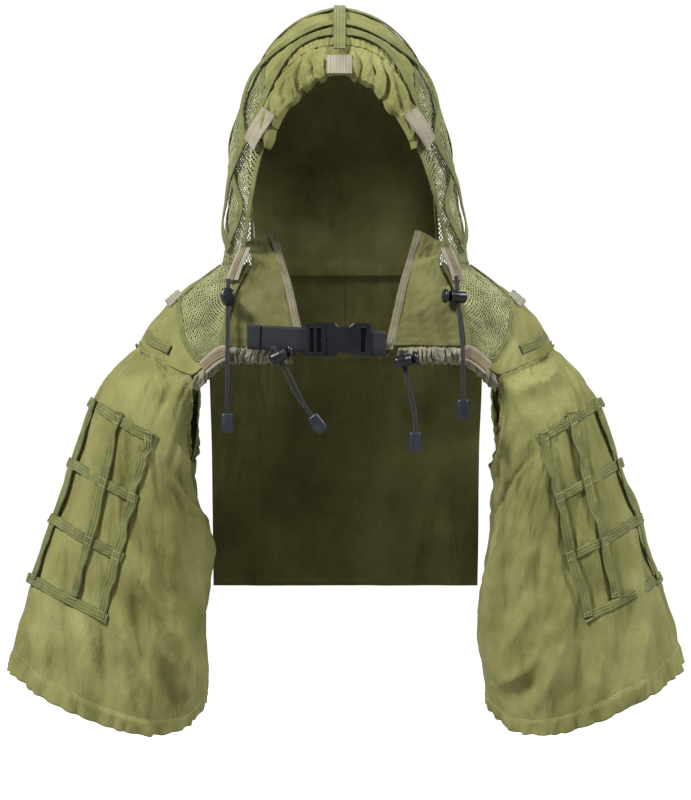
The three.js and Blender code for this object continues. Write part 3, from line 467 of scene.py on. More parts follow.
def ribbedWebbing(name, dark, light, ribMm=0.9, roughness=0.82, lineMm=3.2, lineDepth=0.4):
    # woven tape: fine ribs across, darker lines along, slightly shiny filament
    mat, tree, shader, place = startMaterial(name, roughness, Sheen_Weight=0.15, Specular_IOR_Level=0.3)
    ribs = addNode(tree, "ShaderNodeTexWave", {"bands_direction": "X"}, links={"Vector": (place, "UV")},
                   Scale=wavesPerMetre / ribMm, Distortion=0.4)
    lines = addNode(tree, "ShaderNodeTexWave", {"bands_direction": "Y"}, links={"Vector": (place, "UV")},
                    Scale=wavesPerMetre / lineMm, Distortion=0.15)
    wear = addNode(tree, "ShaderNodeTexNoise", links={"Vector": (place, "Object")}, Scale=60.0, Detail=4.0)
    both = addNode(tree, "ShaderNodeMath", {"operation": "MULTIPLY_ADD"}, links={0: (lines, "Fac"), 2: (wear, "Fac")})
    both.inputs[1].default_value = 0.35
    ramp = colourRamp(tree, both, "Value", [(0.35, dark), (0.95, light)])
    tree.links.new(ramp.outputs["Color"], shader.inputs["Base Color"])
    ribBump = addNode(tree, "ShaderNodeBump", links={"Height": (ribs, "Fac")}, Strength=0.5, Distance=0.0003)
    lineBump = addNode(tree, "ShaderNodeBump", links={"Height": (lines, "Fac"), "Normal": (ribBump, "Normal")},
                       Strength=lineDepth, Distance=0.0005)
    tree.links.new(lineBump.outputs["Normal"], shader.inputs["Normal"])
    return mat


def mouldedAcetal(name, dark, light, roughness=0.36):
    # black moulded acetal: even dark colour, satin skin with a fine spark texture
    mat, tree, shader, place = startMaterial(name, roughness, IOR=1.48)
    grain = addNode(tree, "ShaderNodeTexNoise", links={"Vector": (place, "Object")}, Scale=1400.0, Detail=2.0)
    cloud = addNode(tree, "ShaderNodeTexNoise", links={"Vector": (place, "Object")}, Scale=60.0, Detail=3.0)
    ramp = colourRamp(tree, cloud, "Fac", [(0.35, dark), (0.7, light)])
    tree.links.new(ramp.outputs["Color"], shader.inputs["Base Color"])
    bump = addNode(tree, "ShaderNodeBump", links={"Height": (grain, "Fac")}, Strength=0.25, Distance=0.0002)
    tree.links.new(bump.outputs["Normal"], shader.inputs["Normal"])
    return mat


def knittedYarn(name, dark, light):
    # polyester net yarn: slightly glossy filament that catches yellow-green lights
    mat, tree, shader, place = startMaterial(name, 0.62, Sheen_Weight=0.2)
    cloud = addNode(tree, "ShaderNodeTexNoise", links={"Vector": (place, "Object")}, Scale=45.0, Detail=4.0)
    ramp = colourRamp(tree, cloud, "Fac", [(0.3, dark), (0.7, light)])
    tree.links.new(ramp.outputs["Color"], shader.inputs["Base Color"])
    twist = addNode(tree, "ShaderNodeTexNoise", links={"Vector": (place, "Object")}, Scale=1500.0, Detail=1.0)
    bump = addNode(tree, "ShaderNodeBump", links={"Height": (twist, "Fac")}, Strength=0.4, Distance=0.0002)
    tree.links.new(bump.outputs["Normal"], shader.inputs["Normal"])
    return mat


def braidedCord(name, dark, light, strandMm=1.6):
    # braided elastic cord: two crossing diagonals of strands round the cord
    mat, tree, shader, place = startMaterial(name, 0.7, Sheen_Weight=0.1)
    left = addNode(tree, "ShaderNodeMapping", links={"Vector": (place, "UV")})
    left.inputs["Rotation"].default_value = (0, 0, 0.8)
    right = addNode(tree, "ShaderNodeMapping", links={"Vector": (place, "UV")})
    right.inputs["Rotation"].default_value = (0, 0, -0.8)
    a = addNode(tree, "ShaderNodeTexWave", links={"Vector": (left, "Vector")}, Scale=wavesPerMetre / strandMm)
    b = addNode(tree, "ShaderNodeTexWave", links={"Vector": (right, "Vector")}, Scale=wavesPerMetre / strandMm)
    cross = addNode(tree, "ShaderNodeMath", {"operation": "MULTIPLY"}, links={0: (a, "Fac"), 1: (b, "Fac")})
    ramp = colourRamp(tree, cross, "Value", [(0.0, dark), (0.8, light)])
    tree.links.new(ramp.outputs["Color"], shader.inputs["Base Color"])
    bump = addNode(tree, "ShaderNodeBump", links={"Height": (cross, "Value")}, Strength=0.7, Distance=0.0004)
    tree.links.new(bump.outputs["Normal"], shader.inputs["Normal"])
    return mat


oliveTwill = wovenCloth("washedOliveCottonTwill", "#6c6b3a", "#7f7e4b", "#92915d")
# a darker twill for the neck flaps: painted shade where the hood shadows the collar
collarShadeTwill = wovenCloth("oliveTwillCollarPaintedShade", "#504f2b", "#62613a", "#737248")
# a darker copy of the twill for the cloth's inside faces: painted shade inside the hood, yoke, back panel and sleeves
insideShadeTwill = wovenCloth("oliveTwillPaintedInsideShade", "#4b4a28", "#5a5932", "#68663e")
greyCasing = wovenCloth("gatheredGreyTanCasing", "#6f6b5d", "#88836f", "#9d9781", 1.6, 0.2)
bindingTape = ribbedWebbing("foldedBindingTape", "#4f4a35", "#77715a", 0.8)
oliveTape = ribbedWebbing("oliveRibbedTape", "#4a4e27", "#757842", 0.9)
tanWebbing = ribbedWebbing("tanRibbedWebbing", "#756f5e", "#99937f", 1.1)
brownWebbing = ribbedWebbing("brownRibbedWebbing", "#5c5039", "#7f735a", 1.1)
blackWebbing = ribbedWebbing("blackRibbedWebbing", "#0b0d10", "#1d2127", 1.0, 0.6, 25.0, 0.05)
blackAcetal = mouldedAcetal("mouldedBlackAcetal", "#0c0e12", "#171a20", 0.3)
slateRubber = mouldedAcetal("mouldedSlateRubber", "#1a1f26", "#2b323b", 0.4)
netYarn = knittedYarn("knittedNetYarn", "#6a6d40", "#9a9c66")
cordBraid = braidedCord("darkElasticBraid", "#0a0c0f", "#262b32")
creamThread = knittedYarn("creamSewingThread", "#b9b48c", "#d6d2b0")
print("materials made")

# camera: level, in front, wide enough for both sleeves
view = {"distance": 3.3, "height": -0.103, "width": 0.712 / 691 * 800, "near": -0.05}  # metres
cameraData = bpy.data.cameras.new("camera")
cameraData.sensor_width = 36
cameraData.lens = 36 * (view["distance"] + view["near"]) / view["width"]
camera = bpy.data.objects.new("camera", cameraData)
camera.location = (0, -view["distance"], view["height"])
camera.rotation_euler = (math.pi / 2, 0, 0)
scene.collection.objects.link(camera)
scene.camera = camera


# lights and floor: two small lamps in front, a wide one behind, white paper below
studio = {  # lamps as name: (place in metres, size in metres, watts)
    "lamps": {
        "keyLight": ((-1.9, -1.5, 2.0), 0.6, 139),
        "sideLight": ((2.2, -0.9, 1.8), 0.6, 89),
        "rimLight": ((0.3, 2.2, 1.8), 1.4, 24),
    },
    "skyLight": 0.24, "skySeen": 1.05, "floorHalf": 6, "floorZ": -0.62, "paper": "#a8a8a8", "paperGlow": 0.9,
}
scene.view_settings.view_transform = "Standard"
world = bpy.data.worlds.new("studio")
world.use_nodes = True
sky = world.node_tree
seen = addNode(sky, "ShaderNodeLightPath")
shine = addNode(sky, "ShaderNodeMapRange", links={"Value": (seen, "Is Camera Ray")})
shine.inputs["To Min"].default_value = studio["skyLight"]
shine.inputs["To Max"].default_value = studio["skySeen"]
sky.nodes["Background"].inputs["Color"].default_value = linear("#ffffff")
sky.links.new(shine.outputs["Result"], sky.nodes["Background"].inputs["Strength"])
scene.world = world
for name, (place, size, power) in studio["lamps"].items():
    data = bpy.data.lights.new(name, "AREA")
    data.size = size
    data.energy = power
    light = bpy.data.objects.new(name, data)
    light.location = place
    aim = -np.array(place) + np.array([0, 0, -0.1])
    light.rotation_euler = (math.atan2(math.hypot(aim[0], aim[1]), -aim[2]), 0, math.atan2(-aim[0], aim[1]))
    scene.collection.objects.link(light)

floorData = bpy.data.meshes.new("floor")
reach = studio["floorHalf"]
floorCorners = [(x * reach, y * reach, studio["floorZ"]) for x, y in ((-1, -1), (1, -1), (1, 1), (-1, 1))]
floorData.from_pydata(floorCorners, [], [(0, 1, 2, 3)])
floor = bpy.data.objects.new("floor", floorData)
scene.collection.objects.link(floor)
paleFloor, floorTree, floorShader, floorPlace = startMaterial("whiteBackgroundPaper", 0.95)
floorShader.inputs["Base Color"].default_value = linear(studio["paper"])
floorShader.inputs["Emission Color"].default_value = linear("#ffffff")
# the paper looks white straight on but throws little light back up
floorRay = addNode(floorTree, "ShaderNodeLightPath")
glow = addNode(floorTree, "ShaderNodeMapRange", links={"Value": (floorRay, "Is Camera Ray")})
glow.inputs["To Min"].default_value = 0.0
glow.inputs["To Max"].default_value = studio["paperGlow"]
floorTree.links.new(glow.outputs["Result"], floorShader.inputs["Emission Strength"])
floorData.materials.append(paleFloor)

# four elastic cords with their locks; routes in millimetres from each exit down to the moulded end,
# and each cord is two strands side by side
cords = {
    "hood_right": {
        "route": [
            (-119, -96.1, 20), (-119, -100.6, 6.4), (-119, -105, -7.1), (-119, -109.5, -20.7),
            (-119, -113.9, -34.3), (-119, -118.4, -47.9), (-119, -121.4, -60), (-119, -122.5, -70),
            (-119, -122.5, -80), (-119, -122.5, -90), (-119, -122.5, -103.5), (-119, -122.5, -116),
        ],
        "lock": (-119, -102.8, -0.4), "button": (0, -0.9503, 0.3114), "apart": (1, 0, 0), "bow": 0.0,
    },
    "hood_left": {
        "route": [
            (112.5, -92.2, 23), (113.6, -97, 8.9), (114.6, -101.8, -5.2), (115.7, -106.6, -19.3),
            (116.8, -111.3, -33.4), (117.9, -116.1, -47.5), (118.4, -119.5, -58), (118.5, -120.5, -67),
            (118.5, -120.5, -76), (118.5, -120.5, -85), (118.5, -120.5, -93), (118.5, -120.5, -102),
        ],
        "lock": (114.1, -99.4, 1.8), "button": (-0.9401, -0.338, 0.0432), "apart": (1, 0, 0), "bow": 0.0,
    },
    "chest_right": {
        "route": [
            (-72.5, -123.2, -60.5), (-72.7, -126.4, -58.4), (-73, -130.2, -55), (-73.2, -134.6, -51),
            (-72.6, -138.6, -49.9), (-70.6, -140, -52.4), (-67, -140, -59.5), (-63.4, -140, -66.6),
            (-59.8, -140, -73.7), (-56.2, -140, -80.9), (-52.6, -139.4, -88.5), (-48, -138.2, -97.5),
            (-42.5, -136.8, -107), (-34, -135, -118.5),
        ],
        "lock": (-67, -140, -59.5), "button": (0.8924, 0, 0.4512), "apart": (0.92, 0, 0.39), "bow": 1.4,
    },
    "chest_left": {
        "route": [
            (55.5, -131.5, -53), (58, -131.5, -64), (60.5, -131.5, -75), (62.5, -131.5, -84),
            (65.5, -131.5, -97), (67, -131.5, -104), (68.3, -131.5, -110), (69.3, -131.5, -116),
            (70, -131.5, -122), (70.2, -131.5, -128), (70, -131.5, -135),
        ],
        "lock": (58, -131.5, -64), "button": (0.9766, 0, 0.2149), "apart": (1, 0, 0), "bow": 0.5,
    },
}
fitting = {  # millimetres
    "strand": 2.3, "gap": 1.14, "barrel": 13.2, "barrelLength": 17, "recess": 6.6, "head": 14.5, "travel": 3,
    "endHeights": [0, 0.4, 1.2, 3, 6, 10, 14, 17, 18.6, 19.6, 20.0],
    "endHalves": [4.4, 5.4, 5.9, 6.1, 6.2, 6.4, 6.5, 6.4, 6.0, 5.0, 3.2], "endSquareness": 4.2, "endDepth": 0.8,
}


def turned(axisPoint, axis, profile, around=40):  # a profile of (radius, height) turned round an axis, poles closed
    axis = np.asarray(axis, float) / np.linalg.norm(axis)
    a = np.cross(axis, [0.0, 0.0, 1.0] if abs(axis[2]) < 0.9 else [1.0, 0.0, 0.0])
    a /= np.linalg.norm(a)
    b = np.cross(axis, a)
    r, h = np.asarray(profile, float).T
    w = np.linspace(0, 2 * math.pi, around, endpoint=False)
    spoke = np.cos(w)[:, None, None] * a + np.sin(w)[:, None, None] * b
    p = np.asarray(axisPoint, float) + h[None, :, None] * axis + r[None, :, None] * spoke
    nv = len(r)
    faces = gridFaces(around, nv, True)[:, ::-1]
    low, high = [i * nv for i in range(around)], [i * nv + nv - 1 for i in range(around)]
    return p.reshape(-1, 3), faces.tolist() + [low, high[::-1]]


def cordEnd(top, down):  # squared block, narrow at the cord and rounded below: superellipse rings down its axis
    down = np.asarray(down, float) / np.linalg.norm(down)
    side = np.cross(down, [0.0, -1.0, 0.0])
    side /= np.linalg.norm(side)
    front = np.cross(side, down)
    h = np.array(fitting["endHeights"])
    half = np.array(fitting["endHalves"])
    power = fitting["endSquareness"]
    w = np.linspace(0, 2 * math.pi, 40, endpoint=False)
    c, s = np.cos(w), np.sin(w)
    k = (np.abs(c) ** power + np.abs(s) ** power) ** (-1 / power)
    deep = half * fitting["endDepth"]
    p = np.asarray(top, float) + h[None, :, None] * down
    p = p + (half[None, :] * (c * k)[:, None])[..., None] * side
    p = p + (deep[None, :] * (s * k)[:, None])[..., None] * front
    nv = len(h)
    faces = gridFaces(len(w), nv, True)
    low, high = [i * nv for i in range(len(w))], [i * nv + nv - 1 for i in range(len(w))]
    return p.reshape(-1, 3), faces.tolist() + [low[::-1], high]


def softSharp(obj, widthMm, angle=35 * deg):  # rounds the edges of a moulded part
    bevel = obj.modifiers.new("softEdge", "BEVEL")
    bevel.width = widthMm / 1000
    bevel.segments = 2
    bevel.limit_method = "ANGLE"
    bevel.angle_limit = angle
    bevel.harden_normals = False


for key, c in cords.items():
    route = np.array(c["route"], float)
    t = np.linspace(0, 1, 30)
    line = throughPoints(route, t)
    apart = np.asarray(c["apart"], float) / np.linalg.norm(c["apart"])
    body = f"cord_{key}"
    lockAt = np.argmin(np.linalg.norm(line - np.array(c["lock"]), axis=1)) / 29
    last = route[-1] - route[-2]
    endPiece = newObject(f"cordEnd_{key}", *cordEnd(route[-1] + 0.2 * last / np.linalg.norm(last), last))
    finishPiece(endPiece, slateRubber, (f"cord_end_{key}",), body)
    for which, sign in (("front", 1), ("rear", -1)):
        free = np.clip((t - lockAt) / (1 - lockAt), 0, 1)
        spread = fitting["gap"] + c["bow"] * np.sin(math.pi * free) ** 2
        points = line + sign * spread[:, None] * apart
        data = bpy.data.curves.new(f"strand_{key}_{which}", "CURVE")
        data.dimensions = "3D"
        data.bevel_depth = fitting["strand"] / 2000
        data.bevel_resolution = 4
        data.use_fill_caps = True
        spline = data.splines.new("POLY")
        spline.points.add(len(points) - 1)
        spline.points.foreach_set("co", np.hstack([points / 1000, np.ones((len(points), 1))]).ravel())
        spline.use_smooth = True
        strand = bpy.data.objects.new(f"strand_{key}_{which}", data)
        scene.collection.objects.link(strand)
        data.materials.append(cordBraid)
        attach(strand, body)
        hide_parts(f"cord_{key}")
        length = float(np.linalg.norm(np.diff(points, axis=0), axis=1).sum()) / 1000
    # barrel: closed round end, shallow ribs towards the button; the button stands off it on its stem
    at, axis = np.array(c["lock"]), np.array(c["button"])
    axis = axis / np.linalg.norm(axis)
    r, half = fitting["barrel"] / 2, fitting["barrelLength"] / 2
    mouth = half - fitting["recess"]
    barrel = [(0.4, -half), (r - 2.4, -half), (r - 0.9, -half + 0.6), (r - 0.2, -half + 1.8), (r - 0.1, -half + 3)]
    barrel += [(r, 2.2)]
    for k in range(3):
        barrel += [(r, 2.6 + 1.8 * k), (r - 0.5, 2.9 + 1.8 * k), (r - 0.5, 3.6 + 1.8 * k), (r, 3.9 + 1.8 * k)]
    barrel += [(r, half - 0.6), (r - 0.5, half), (5.0, half), (4.8, mouth), (0.4, mouth)]
    lock = newObject(f"lockBarrel_{key}", *turned(at, axis, barrel))
    finishPiece(lock, blackAcetal, (f"lock_{key}",), f"lock_{key}")
    stand = half + fitting["travel"] + 0.4
    rim = fitting["head"] / 2
    stem = [(0.4, half - 1.6), (4.3, half - 1.6), (4.3, stand - 0.4), (rim - 1.2, stand), (rim - 0.2, stand + 0.8),
            (rim, stand + 1.8), (rim - 0.4, stand + 3.0), (rim - 1.6, stand + 3.8), (rim - 3.2, stand + 4.0),
            (0.4, stand + 4.0)]
    plunger = newObject(f"lockButton_{key}", *turned(at, axis, stem))
    finishPiece(plunger, blackAcetal, (f"plunger_{key}",), f"plunger_{key}")
print("cords and locks made")

# hood
hoodInside = (0, 0, 120)


def outNormals(p, inside, closed=False):  # a grid's normals, all on the side away from the point inside
    return facing(p, gridNormals(p, closed), inside)


def grid(shape, nu, nv):  # the points of a surface on an even grid of its two parameters, with the parameters
    u, v = np.meshgrid(np.linspace(0.0, 1.0, nu), np.linspace(0.0, 1.0, nv), indexing="ij")
    return shape(u, v), u, v


def crownMap(u, v):  # across by u, and by v from the brim seam over the top to the back seam
    x = mix(-75.3, 75.3, u)
    return crownPoint(x, mix(betaAt(x, brimSeamZ(x)) + 0.004, cut["backStart"] - 0.004, v))


crown = {"crease": 1.5, "gather": 2.0, "gathers": 26, "across": 150, "over": 170}
p, u, v = grid(crownMap, crown["across"], crown["over"])
n = outNormals(p, hoodInside)
x, s = p[..., 0], v * 250
push = 1.6 + crown["crease"] * (softNoise(x, s, 70, 11) + 0.5 * softNoise(x, s, 26, 14)) * smooth(0, 0.1, v)
push += crown["gather"] * (pleat(u + 0.01 * softNoise(x, s, 30, 12), crown["gathers"], 13) - 0.3) * np.exp(-v / 0.09)
push += 0.8 * np.exp(-((v - 0.06) / 0.02) ** 2) - 1.2 * np.exp(-((v - 0.995) / 0.012) ** 2)
clothPiece("hoodCrown", p + n * push[..., None], oliveTwill, ["hood_crown"], hoodInside,
           insideShadeMaterial=insideShadeTwill)


def brimMap(u, v):  # across by u, and by v from the brim's free edge up to its seam
    x = mix(-75.4, 75.4, u)
    return crownPoint(x, mix(betaAt(x, brimEdgeZ(x)), betaAt(x, brimSeamZ(x)) - 0.005, v))


brim = {"pleats": 11, "base": 1.6, "deep": 10.5, "curl": 5.0, "scallop": 7.0, "turnIn": 0.14, "across": 520, "up": 56}
plain, u, v = grid(brimMap, brim["across"], brim["up"])
n = outNormals(plain, hoodInside)
up = np.clip((v - brim["turnIn"]) / (1 - brim["turnIn"]), 0, 1)  # the first rows are the edge turned in
p = brimMap(u, up)
along = u + 0.022 * softNoise(p[..., 0], up * 34, 60, 21) + 0.012 * up * np.sin(u * 23)
flat = np.exp(-((u - 0.5) / 0.07) ** 6)
fold = pleat(along, brim["pleats"], 22, 2.6) * (1 - 0.94 * flat)
small = pleat(along + 0.03, 29, 24, 1.8) * (1 - flat)
body = np.sin(math.pi * np.clip(up * 0.86 + 0.1, 0, 1)) ** 0.7
near = 1 - 0.62 * smooth(0.15, 0.85, up)
push = 1.4 + body * (brim["base"] + brim["deep"] * fold * near) + 1.5 * body * (small - 0.4) * smooth(1.0, 0.3, up)
push = push + 0.7 * softNoise(p[..., 0], up * 30, 11, 23)
push = mix(-brim["curl"] + push * 0.3, push, smooth(0, 0.16, v))
edge = np.exp(-(up / 0.3) ** 2)
sway = 1.6 * edge * np.sin(along * 2 * math.pi * brim["pleats"] * 0.5 + 1)
shift = np.stack([sway, 0 * u, brim["scallop"] * (0.35 - fold) * edge], -1)
clothPiece("hoodBrim", p + n * push[..., None] + shift, oliveTwill, ["hood_brim"], hoodInside)


def backMap(u, v):  # down the crown curve, then down the skirt to the nape
    x = mix(-1, 1, u)
    upper = np.clip((v - 0.35) / 0.65, 0, 1)
    beta = mix(math.pi, cut["backStart"], upper)
    top = crownPoint(x * backHalfOn(beta), beta)
    z = mix(31.0, 100, np.clip(v / 0.35, 0, 1))
    half = backHalfAt(z)
    low = hoodPoint(math.pi - np.arcsin(np.clip(x * half / hoodHalfAt(z), -1, 1)), z)
    return np.where((v > 0.35)[..., None], top, low)


hoodBack = {"across": 130, "up": 190, "crease": 1.6, "gather": 0.8, "gathers": 18, "footTuck": 4.5}
p, u, v = grid(backMap, hoodBack["across"], hoodBack["up"])
n = outNormals(p, hoodInside)
push = 1.6 + hoodBack["crease"] * softNoise(p[..., 0], p[..., 2], 80, 31)
push = push + hoodBack["gather"] * (pleat(u, hoodBack["gathers"], 32) - 0.4) * np.exp(-v / 0.08)
push = push - hoodBack["footTuck"] * (1 - smooth(0.03, 0.1, v))
clothPiece("hoodBack", p + n * push[..., None], oliveTwill, ["hood_back"], hoodInside, insideShadeMaterial=insideShadeTwill)


def netSide(u, v):  # open net beside the face, from the front edge round to the back panel
    z = mix(cut["hoodFootZ"], 252, v**0.9)
    w = hoodHalfAt(z)
    a = np.arcsin(np.clip((faceX(z) + 0.8) / w, -1, 1))
    b = math.pi - np.arcsin(np.clip((backHalfAt(z) + 0.8) / w, -1, 1))
    return hoodPoint(mix(a, b, u), z)


def netMesh(shape, nu, nv, openShare, lift, inside, seed, wobble=0.25):
    # diamonds of yarn round open holes: every second point of a lattice is a knot, the others are hole middles
    u, v = np.meshgrid(np.linspace(0, 1, 2 * nu + 1), np.linspace(0, 1, 2 * nv + 1), indexing="ij")
    p = shape(u, v)
    n = facing(p, gridNormals(p), inside)
    rng = np.random.default_rng(seed)
    p = p + n * (lift + 1.1 * softNoise(u * 150, v * 200, 46, seed))[..., None] + rng.normal(0, wobble, p.shape)
    i, j = np.meshgrid(np.arange(1, 2 * nu), np.arange(1, 2 * nv), indexing="ij")
    odd = (i + j) % 2 == 1
    i, j = i[odd], j[odd]
    rows = 2 * nv + 1
    around = np.stack([(i + 1) * rows + j, i * rows + j + 1, (i - 1) * rows + j, i * rows + j - 1], -1)
    flat = p.reshape(-1, 3)
    corner = flat[around]
    middle = corner.mean(1, keepdims=True)
    # the hole is an octagon: corners pulled in more than the sides
    holes = middle + (corner - middle) * openShare
    between = middle + ((corner + np.roll(corner, -1, 1)) / 2 - middle) * (openShare + 0.12)
    used = np.unique(around)
    back = np.full(len(flat), -1)
    back[used] = np.arange(len(used))
    outer = back[around]
    count = len(i)
    holeIndex = len(used) + np.arange(count * 4).reshape(count, 4)
    sideIndex = len(used) + count * 4 + np.arange(count * 4).reshape(count, 4)
    nextOuter, nextHole = np.roll(outer, -1, 1), np.roll(holeIndex, -1, 1)
    a = np.stack([outer, nextOuter, sideIndex], -1).reshape(-1, 3)
    b = np.stack([outer, sideIndex, holeIndex], -1).reshape(-1, 3)
    c = np.stack([nextOuter, nextHole, sideIndex], -1).reshape(-1, 3)
    verts = np.vstack([flat[used], holes.reshape(-1, 3), between.reshape(-1, 3)])
    return verts, np.vstack([a, b, c]), p


def netPiece(name, shape, settings, nodes, inside, seed, thick=0.8):  # the net thickened both ways, its cut size worked out
    verts, faces, p = netMesh(shape, settings["holesRound"], settings["holesUp"], settings["open"], 1.2, inside, seed)
    q = verts[faces]
    faceNormals = np.cross(q[:, 1] - q[:, 0], q[:, 2] - q[:, 0])
    if np.sum((q.mean(1) - np.asarray(inside, float)) * faceNormals) < 0:
        faces = faces[:, ::-1]
    obj = newObject(name, verts, faces)
    wall = obj.modifiers.new("wall", "SOLIDIFY")
    wall.thickness = thick / 1000
    wall.offset = 0
    finishPiece(obj, netYarn, nodes)
    declareSheet(p)
    return obj


hoodNet = {"holesRound": 29, "holesUp": 46, "open": 0.72}
for side, sign in (("left", 1), ("right", -1)):
    mirror = np.array([sign, 1, 1])
    netPiece(f"hoodNet_{side}", lambda u, v: netSide(u, v) * mirror, hoodNet, [f"hood_mesh_{side}"], hoodInside,
             40 + sign)
    edges = []
    for fixed, lift, width in ((0.0, 1.0, 7), (1.0, 0.6, 5)):
        t = np.linspace(0, 1, 60)
        line = netSide(fixed + 0 * t + (0.015 if fixed == 0 else -0.012), t) * mirror
        near = netSide(np.clip(fixed + 0 * t + (0.06 if fixed == 0 else -0.06), 0, 1), t) * mirror
        upper, lower = np.clip(t + 0.01, 0, 1), np.clip(t - 0.01, 0, 1)
        up = netSide(fixed + 0 * t, upper) * mirror - netSide(fixed + 0 * t, lower) * mirror
        normal = np.cross(near - line, up)
        normal /= np.linalg.norm(normal, axis=1, keepdims=True)
        normal *= np.sign(np.sum(normal * (line - np.array(hoodInside)), axis=1, keepdims=True))
        edges.append({"line": line, "normal": normal, "width": width, "thick": 1.3, "ribs": 2, "lift": lift})
    foot = netSide(np.linspace(0, 1, 60), np.zeros(60)) * mirror - np.array([0, 0, 2.0])
    outwards = foot - np.array([0, 0, foot[0, 2]])
    outwards /= np.linalg.norm(outwards, axis=1, keepdims=True)
    edges.append({"line": foot, "normal": outwards, "width": 9, "thick": 1.3, "ribs": 2, "lift": 1.0})
    tapePiece(f"netHem_{side}", edges, oliveTape, ())
print("hood cloth and net made")


def hoodNormal(psi, z):  # the hood's outward normal: the cross product of two short steps over it
    a = hoodPoint(psi + 0.01, z) - hoodPoint(psi - 0.01, z)
    b = hoodPoint(psi, z + 0.5) - hoodPoint(psi, z - 0.5)
    n = np.cross(a, b)
    n /= np.linalg.norm(n, axis=-1, keepdims=True)
    return n * np.sign(np.sum(n * (hoodPoint(psi, z) - np.array(hoodInside)), -1, keepdims=True))


hoops = {  # webbing round the hood, as (degrees from the front, height) from the top down one side
    "front": {"way": [[0, 269], [21, 266], [38, 248], [47, 198], [52, 168], [66, 128], [58, 92], [72, 52]], "lift": 4.6},
    "middle": {"way": [[0, 282], [34, 272], [66, 238], [66, 196], [56, 158], [72, 118], [82, 84], [66, 52]], "lift": 3.4},
    "rear": {"way": [[0, 301], [62, 290], [92, 262], [108, 222], [96, 172], [112, 128], [98, 88], [108, 52]], "lift": 2.7},
}
hoodTape = {"width": 10.5, "centreWidth": 12.5, "thick": 1.7, "ribs": 3, "loose": 0.9, "middleSag": 2.4}
for name, hoop in hoops.items():
    way = np.array(hoop["way"], float)
    both = np.vstack([way[::-1] * np.array([-1, 1]), way[1:]])
    t = np.linspace(0, 1, 170)
    path = throughPoints(both, t)
    psi, z = path[:, 0] * deg, np.clip(path[:, 1], 40, 302.4)
    line, normal = hoodPoint(psi, z), hoodNormal(psi, z)
    loose = hoop["lift"] + hoodTape["loose"] * np.sin(t * 40) * smooth(0.12, 0.25, np.abs(t - 0.5))
    if name == "middle":
        loose = loose + hoodTape["middleSag"] * smooth(0.09, 0.17, np.abs(t - 0.5))
    band = {"line": line, "normal": normal, "width": hoodTape["width"], "thick": hoodTape["thick"],
            "ribs": hoodTape["ribs"], "lift": loose}
    tapePiece(f"hoodWebbing_{name}", [band], oliveTape, [f"hood_strap_{name}"])
t = np.linspace(0, 1, 90)
beta = mix(betaAt(0, 248), math.pi - 0.02, t)
line = crownPoint(0 * beta, beta)
normal = line - np.array([0, 0, 100])
normal /= np.linalg.norm(normal, axis=1, keepdims=True)
band = {"line": line, "normal": normal, "width": hoodTape["centreWidth"], "thick": hoodTape["thick"],
        "ribs": hoodTape["ribs"], "lift": mix(8.4, 5.0, smooth(0.02, 0.12, t))}
tapePiece("hoodWebbing_centre", [band], oliveTape, ["hood_strap_centre"])

# tan tabs on the brim and beside the face, and one across each lower corner
faceTab = {"frontWidth": 26, "sideWidth": 24, "tipWidth": 20, "bandWidth": 8, "thick": 1.5}
t = np.linspace(0, 1, 24)
beta = mix(betaAt(0, brimEdgeZ(0) - 3), betaAt(0, brimEdgeZ(0) - 3) + 0.125, t)
line = crownPoint(0 * beta, beta)
normal = line - np.array([0, 0, 100])
normal /= np.linalg.norm(normal, axis=1, keepdims=True)
tab = {"line": line, "normal": normal, "width": faceTab["frontWidth"], "thick": faceTab["thick"], "ribs": 5, "lift": 7.7}
tapePiece("brimTab_centre", [tab], tanWebbing, ["brim_tab_centre"])
for side, sign in (("left", 1), ("right", -1)):
    z = mix(156, 188, t)
    x = 76 - (z - 172) * 0.6
    psi = np.arcsin(x / hoodHalfAt(z))
    line, normal = hoodPoint(psi, z), hoodNormal(psi, z)
    mirror = np.array([sign, 1, 1])
    tab = {"line": line * mirror, "normal": normal * mirror, "width": faceTab["sideWidth"], "thick": faceTab["thick"],
           "ribs": 5, "lift": 8.6 + 0.8 * np.sin(t * 5)}
    tapePiece(f"brimTab_{side}", [tab], tanWebbing, [f"brim_tab_{side}"])
    line = mix(yokePoint(np.full(24, 50.5), np.full(24, 0.2)), hoodPoint(np.full(24, 52 * deg), np.full(24, 50.0)),
               t[:, None])
    normal = np.tile([0.76, -0.62, 0.2], (24, 1))
    lift = 6.6 + 0.6 * np.sin(t * 4)
    tip = {"line": line * mirror, "normal": normal * mirror, "width": faceTab["tipWidth"], "thick": 1.4, "ribs": 4,
           "lift": lift}
    tapePiece(f"tipTab_{side}", [tip], tanWebbing, [f"tip_tab_{side}"])
    band = {"line": (line + normal * 1.5) * mirror, "normal": normal * mirror, "width": faceTab["bandWidth"],
            "thick": 0.8, "ribs": 2, "lift": lift}
    tapePiece(f"tipTabBand_{side}", [band], brownWebbing, ())
print("hood webbing made")

# shoulders and chest
flapInner = [(75, -34, 72), (66, -55, 40), (56, -76, 10), (49, -93, -16), (44, -104, -34), (40, -116.5, -48)]


def flareA(t):  # the net gusset's front edge, in degrees from the front
    return mix(49, 46, t)


def flareB(t):  # and its rear edge
    return stations([0, 0.35, 0.62, 1], [84, 81, 68, 52], t)


def flapMap(u, v):  # straight across by u between two smooth lines that run down by v
    ts = np.array([0, 0.35, 0.7, 1.0])
    outer = np.vstack([[(104, -44, 58)], yokePoint(flareA(ts) - 1.2, ts)])
    p = mix(throughPoints(flapInner, v), throughPoints(outer, v), u[..., None])
    p[..., 2] -= 11.5 * smooth(0.8, 1, v) * (1 - smooth(0.02, 0.1, u))
    return p


def netGusset(u, v):  # the shoulder surface between the two gusset edges
    return yokePoint(mix(flareA(v) + 0.5, flareB(v) - 1.1, u), v)


def yokeMap(u, v):  # the shoulder surface from the gusset round to the middle of the back
    return yokePoint(mix(flareB(v) + 0.1, 180.0, u), v)


